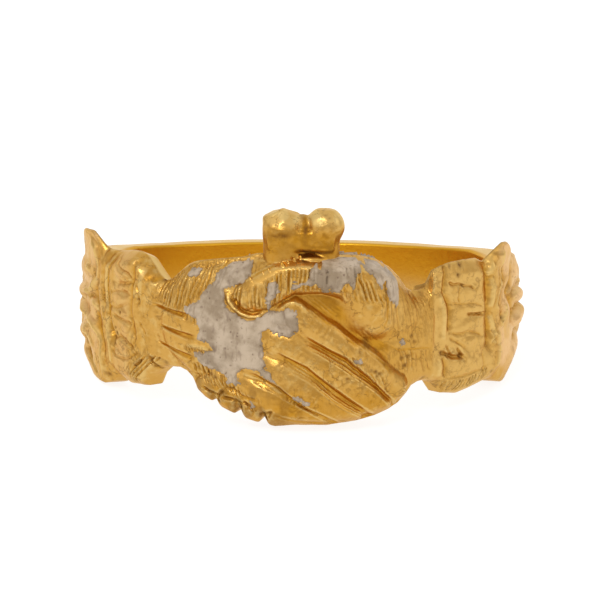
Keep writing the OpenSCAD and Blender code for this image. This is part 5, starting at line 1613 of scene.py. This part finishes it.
def enamel_patch(outline, k, streaks, sizes):
    """Points, faces and thinness of the closed skin within one outline."""
    step, thick = sizes.enamel_step / MM, sizes.enamel_thickness / MM
    xs, zs = [p[0] for p in outline], [p[1] for p in outline]
    gx = np.arange(min(xs) - 2 * BORDER, max(xs) + 2 * BORDER, step)
    gz = np.arange(min(zs) - 2 * BORDER, max(zs) + 2 * BORDER, step)
    x, z = (g.ravel() for g in np.meshgrid(gx, gz, indexing="ij"))
    d = inside_outline(x, z, outline) + 0.13 * clouds(x * 4.2, z * 4.2, sizes.seed + 900 + k, 3)
    d = d + 0.07 * clouds(x * 12, z * 12, sizes.seed + 970, 1)
    d = d + streaks * (noise(x * 5, z * 1.1, sizes.seed + 980) - 0.6)
    a = np.degrees(np.arcsin(x / VIEW_R))
    upper, lower = section(a)[:2]
    d = np.minimum(d, np.minimum(upper - 0.06 - z, z - lower - 0.1))
    total_r, smooth_r = surface(a, z, sizes)[:2]
    carved = smooth_r - total_r
    skin = thick * (ease(-0.06, 0.1, d) * 1.6 - 0.6) + 0.012 * clouds(x * 5, z * 5, sizes.seed + 950, 2)
    gold = total_r + 0.5 * np.maximum(carved, 0) * (carved < 0.15)
    beyond = ease(-0.04, -BORDER, d)
    top = gold + skin - 0.25 * beyond
    below = np.minimum(total_r, gold) - 0.12 - 0.1 * beyond
    keep = (d > -BORDER).reshape(len(gx), len(gz))
    cell = fill_corners(keep[:-1, :-1] & keep[1:, :-1] & keep[:-1, 1:] & keep[1:, 1:])
    index = np.arange(len(x)).reshape(len(gx), len(gz))
    quads = []
    for i, j in zip(*np.nonzero(cell)):
        quads.append((index[i, j], index[i + 1, j], index[i + 1, j + 1], index[i, j + 1]))
    size = len(x)
    faces = quads + [tuple(size + i for i in reversed(quad)) for quad in quads]
    faces += [(p, p + size, q + size, q) for p, q in open_edges(quads)]
    thin = np.maximum(ease(0.16, 0.0, d), clamp01(carved / 0.1))
    return np.vstack([place(a, top, z), place(a, below, z)]), faces, np.concatenate([thin, thin])


def lay_enamel(name, outlines, streaks, sizes, material):
    """A thin closed skin over the smooth gold, whose ragged border dips into the gold."""
    all_points, all_faces, all_thin, count = [], [], [], 0
    for k, outline in enumerate(outlines):
        points, faces, thin = enamel_patch(outline, k, streaks, sizes)
        all_points.append(points)
        all_faces += [tuple(int(count + i) for i in f) for f in faces]
        all_thin.append(thin)
        count += len(points)
    points, thin = np.vstack(all_points), np.concatenate(all_thin)
    used = np.zeros(count, bool)
    for f in all_faces:
        used[list(f)] = True
    renumber = np.cumsum(used) - 1
    obj = new_mesh_object(name, points[used], [[renumber[i] for i in f] for f in all_faces])
    bm = bmesh.new()
    bm.from_mesh(obj.data)
    pinched = [v for v in bm.verts if any(len(e.link_faces) != 2 for e in v.link_edges)]
    if pinched:
        bmesh.ops.dissolve_degenerate(bm, dist=1e-7, edges=bm.edges[:])
    bm.to_mesh(obj.data)
    bm.free()
    turn_outward(obj)
    set_attribute(obj.data, "thin", thin[used][: len(obj.data.vertices)])
    obj.data.materials.append(material)
    shade_smooth(obj)
    return obj


def wide_light(name, direction, spread, strength):
    """A far round soft light that spans spread degrees, seen from the ring in that direction."""
    data = bpy.data.lights.new(name, "SUN")
    data.angle = math.radians(spread)
    data.energy = strength
    obj = link_object(name, data)
    obj.location = Vector(direction).normalized()
    obj.rotation_euler = Vector(direction).to_track_quat("Z", "Y").to_euler()


def lay_floor(studio):
    """The pale glowing floor on which the ring lies."""
    half, ground = 3, CAD_BOX[0][2]
    corners = [(-half, -half, ground), (half, -half, ground), (half, half, ground), (-half, half, ground)]
    floor = new_mesh_object("floor", corners, [(0, 1, 2, 3)])
    material, tree, shader = new_material("pale_floor")
    grain = noise_texture(tree, add_node(tree, "ShaderNodeTexCoord").outputs["Object"], 60, 3, 0.5)["Fac"]
    pale = tuple(studio.floor_colour)
    darker = tuple(c * 0.985 for c in pale[:3]) + (1,)
    fill_inputs(tree, shader, {
        "Base Color": blend_colours(tree, grain, darker, pale),
        "Roughness": 0.9,
        "Emission Color": WHITE,
        "Emission Strength": studio.floor_glow,
    })
    floor.data.materials.append(material)
    return floor


def light_room(studio):
    """A warm even room, brighter above and with a white backdrop, and three wide soft lights."""
    world = bpy.data.worlds.new("soft_room")
    world.use_nodes = True
    room = world.node_tree
    direction = add_node(room, "ShaderNodeTexCoord").outputs["Generated"]
    across = add_node(room, "ShaderNodeSeparateXYZ", {0: direction}).outputs
    brightness = remap(room, across["Z"], -0.05, 0.75, studio.room_light, studio.tent_light, True)
    backdrop = remap(room, across["Y"], 0.1, 0.8, 0, studio.backdrop_light, True)
    brightness = combine(room, "MAXIMUM", brightness, backdrop)
    warm = remap(room, brightness, studio.room_light, studio.tent_light, 1, 0)
    tint = blend_colours(room, warm, WHITE, studio.room_colour)
    fill_inputs(room, room.nodes["Background"], {"Strength": brightness, "Color": tint})
    bpy.context.scene.world = world
    for name, toward, spread, share in LIGHTS:
        wide_light(name, toward, spread, studio.key_light * share)


def aim_camera(studio):
    """The camera, square to the ring's axis and some way above the ring's own plane."""
    data = bpy.data.cameras.new("camera")
    data.lens = studio.focal_length
    data.sensor_width = 36
    data.clip_start, data.clip_end = 0.01, 10
    data.shift_x, data.shift_y = PICTURE_SHIFT
    camera = link_object("camera", data)
    up = studio.view_over_ring
    away = REST_TURN @ (Vector((0, -math.cos(up), math.sin(up))) * studio.camera_distance)
    back = away.normalized()
    side = (REST_TURN @ Vector((1, 0, 0))).normalized()
    facing = Matrix((side, back.cross(side), back)).transposed() @ Matrix.Rotation(studio.camera_turn, 3, "Z")
    camera.matrix_world = Matrix.Translation(away) @ facing.to_4x4()
    bpy.context.scene.camera = camera
    bpy.context.scene.view_settings.view_transform = "Standard"


class FEDERING_OT_carve_gold(bpy.types.Operator):
    """Carve the gold band with its hands, cuffs and shoulders, and unite it with its pellets and beads"""

    bl_idname = "fede_ring.carve_gold"
    bl_label = "Carve Gold"
    bl_options = {"REGISTER", "UNDO"}

    def execute(self, context):
        sizes = context.scene.fede_ring_sizes
        material = worn_gold(context.scene.fede_ring_colours)
        band = carve_band(sizes)
        beads = make_beads(sizes, material)
        join_solids(band, [make_pellets(sizes), beads])
        band.name = band.data.name = "worn_gold_ring"
        mark_gold(band, sizes)
        band.data.materials.clear()
        band.data.materials.append(material)
        band.data.polygons.foreach_set("material_index", np.zeros(len(band.data.polygons), np.int32))
        shade_smooth(band)
        if triangle_count(band) >= MOST_TRIANGLES:
            raise RuntimeError(f"the gold has {triangle_count(band)} triangles")
        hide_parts("gold_ring")
        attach(band, "root")
        return {"FINISHED"}


class FEDERING_OT_lay_enamel(bpy.types.Operator):
    """Lay the worn white enamel over both hands"""

    bl_idname = "fede_ring.lay_enamel"
    bl_label = "Lay Enamel"
    bl_options = {"REGISTER", "UNDO"}

    def execute(self, context):
        sizes = context.scene.fede_ring_sizes
        material = worn_enamel(context.scene.fede_ring_colours)
        for name, outlines, streaks, node in (
            ("worn_enamel_left_hand", ENAMEL_HAND, 0.0, "enamel_left_hand"),
            ("worn_enamel_thumb", ENAMEL_THUMB, 0.5, "enamel_thumb"),
            ("worn_enamel_flecks", ENAMEL_FLECKS, 0.0, "enamel_flecks"),
        ):
            skin = lay_enamel(name, outlines, streaks, sizes, material)
            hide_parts(node)
            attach(skin, "root")
        return {"FINISHED"}


class FEDERING_OT_set_studio(bpy.types.Operator):
    """Set up the pale floor, the soft light and the camera"""

    bl_idname = "fede_ring.set_studio"
    bl_label = "Set Up Studio"
    bl_options = {"REGISTER", "UNDO"}

    def execute(self, context):
        studio = context.scene.fede_ring_studio
        floor = lay_floor(studio)
        light_room(studio)
        aim_camera(studio)
        return {"FINISHED"}


class FEDERING_PT_sidebar(bpy.types.Panel):
    """Buttons and sizes of the fede ring"""

    bl_idname = "FEDERING_PT_sidebar"
    bl_label = "Fede Ring"
    bl_space_type = "VIEW_3D"
    bl_region_type = "UI"
    bl_category = "Fede Ring"

    def draw(self, context):
        layout = self.layout
        for operator in (FEDERING_OT_carve_gold, FEDERING_OT_lay_enamel, FEDERING_OT_set_studio):
            layout.operator(operator.bl_idname)
        scene = context.scene
        for title, group in (("Sizes", scene.fede_ring_sizes), ("Colours", scene.fede_ring_colours),
                             ("Studio", scene.fede_ring_studio)):
            box = layout.box()
            box.label(text=title)
            for name in group.bl_rna.properties.keys():
                if name not in ("rna_type", "name"):
                    box.prop(group, name)


CLASSES = (
    FedeRingSizes,
    FedeRingColours,
    FedeRingStudio,
    FEDERING_OT_carve_gold,
    FEDERING_OT_lay_enamel,
    FEDERING_OT_set_studio,
    FEDERING_PT_sidebar,
)


def register():
    for cls in CLASSES:
        bpy.utils.register_class(cls)
    bpy.types.Scene.fede_ring_sizes = PointerProperty(type=FedeRingSizes)
    bpy.types.Scene.fede_ring_colours = PointerProperty(type=FedeRingColours)
    bpy.types.Scene.fede_ring_studio = PointerProperty(type=FedeRingStudio)


def unregister():
    del bpy.types.Scene.fede_ring_studio
    del bpy.types.Scene.fede_ring_colours
    del bpy.types.Scene.fede_ring_sizes
    for cls in reversed(CLASSES):
        bpy.utils.unregister_class(cls)


def main():
    register()
    bpy.ops.fede_ring.carve_gold()
    bpy.ops.fede_ring.lay_enamel()
    bpy.ops.fede_ring.set_studio()


if __name__ == "__main__":
    main()
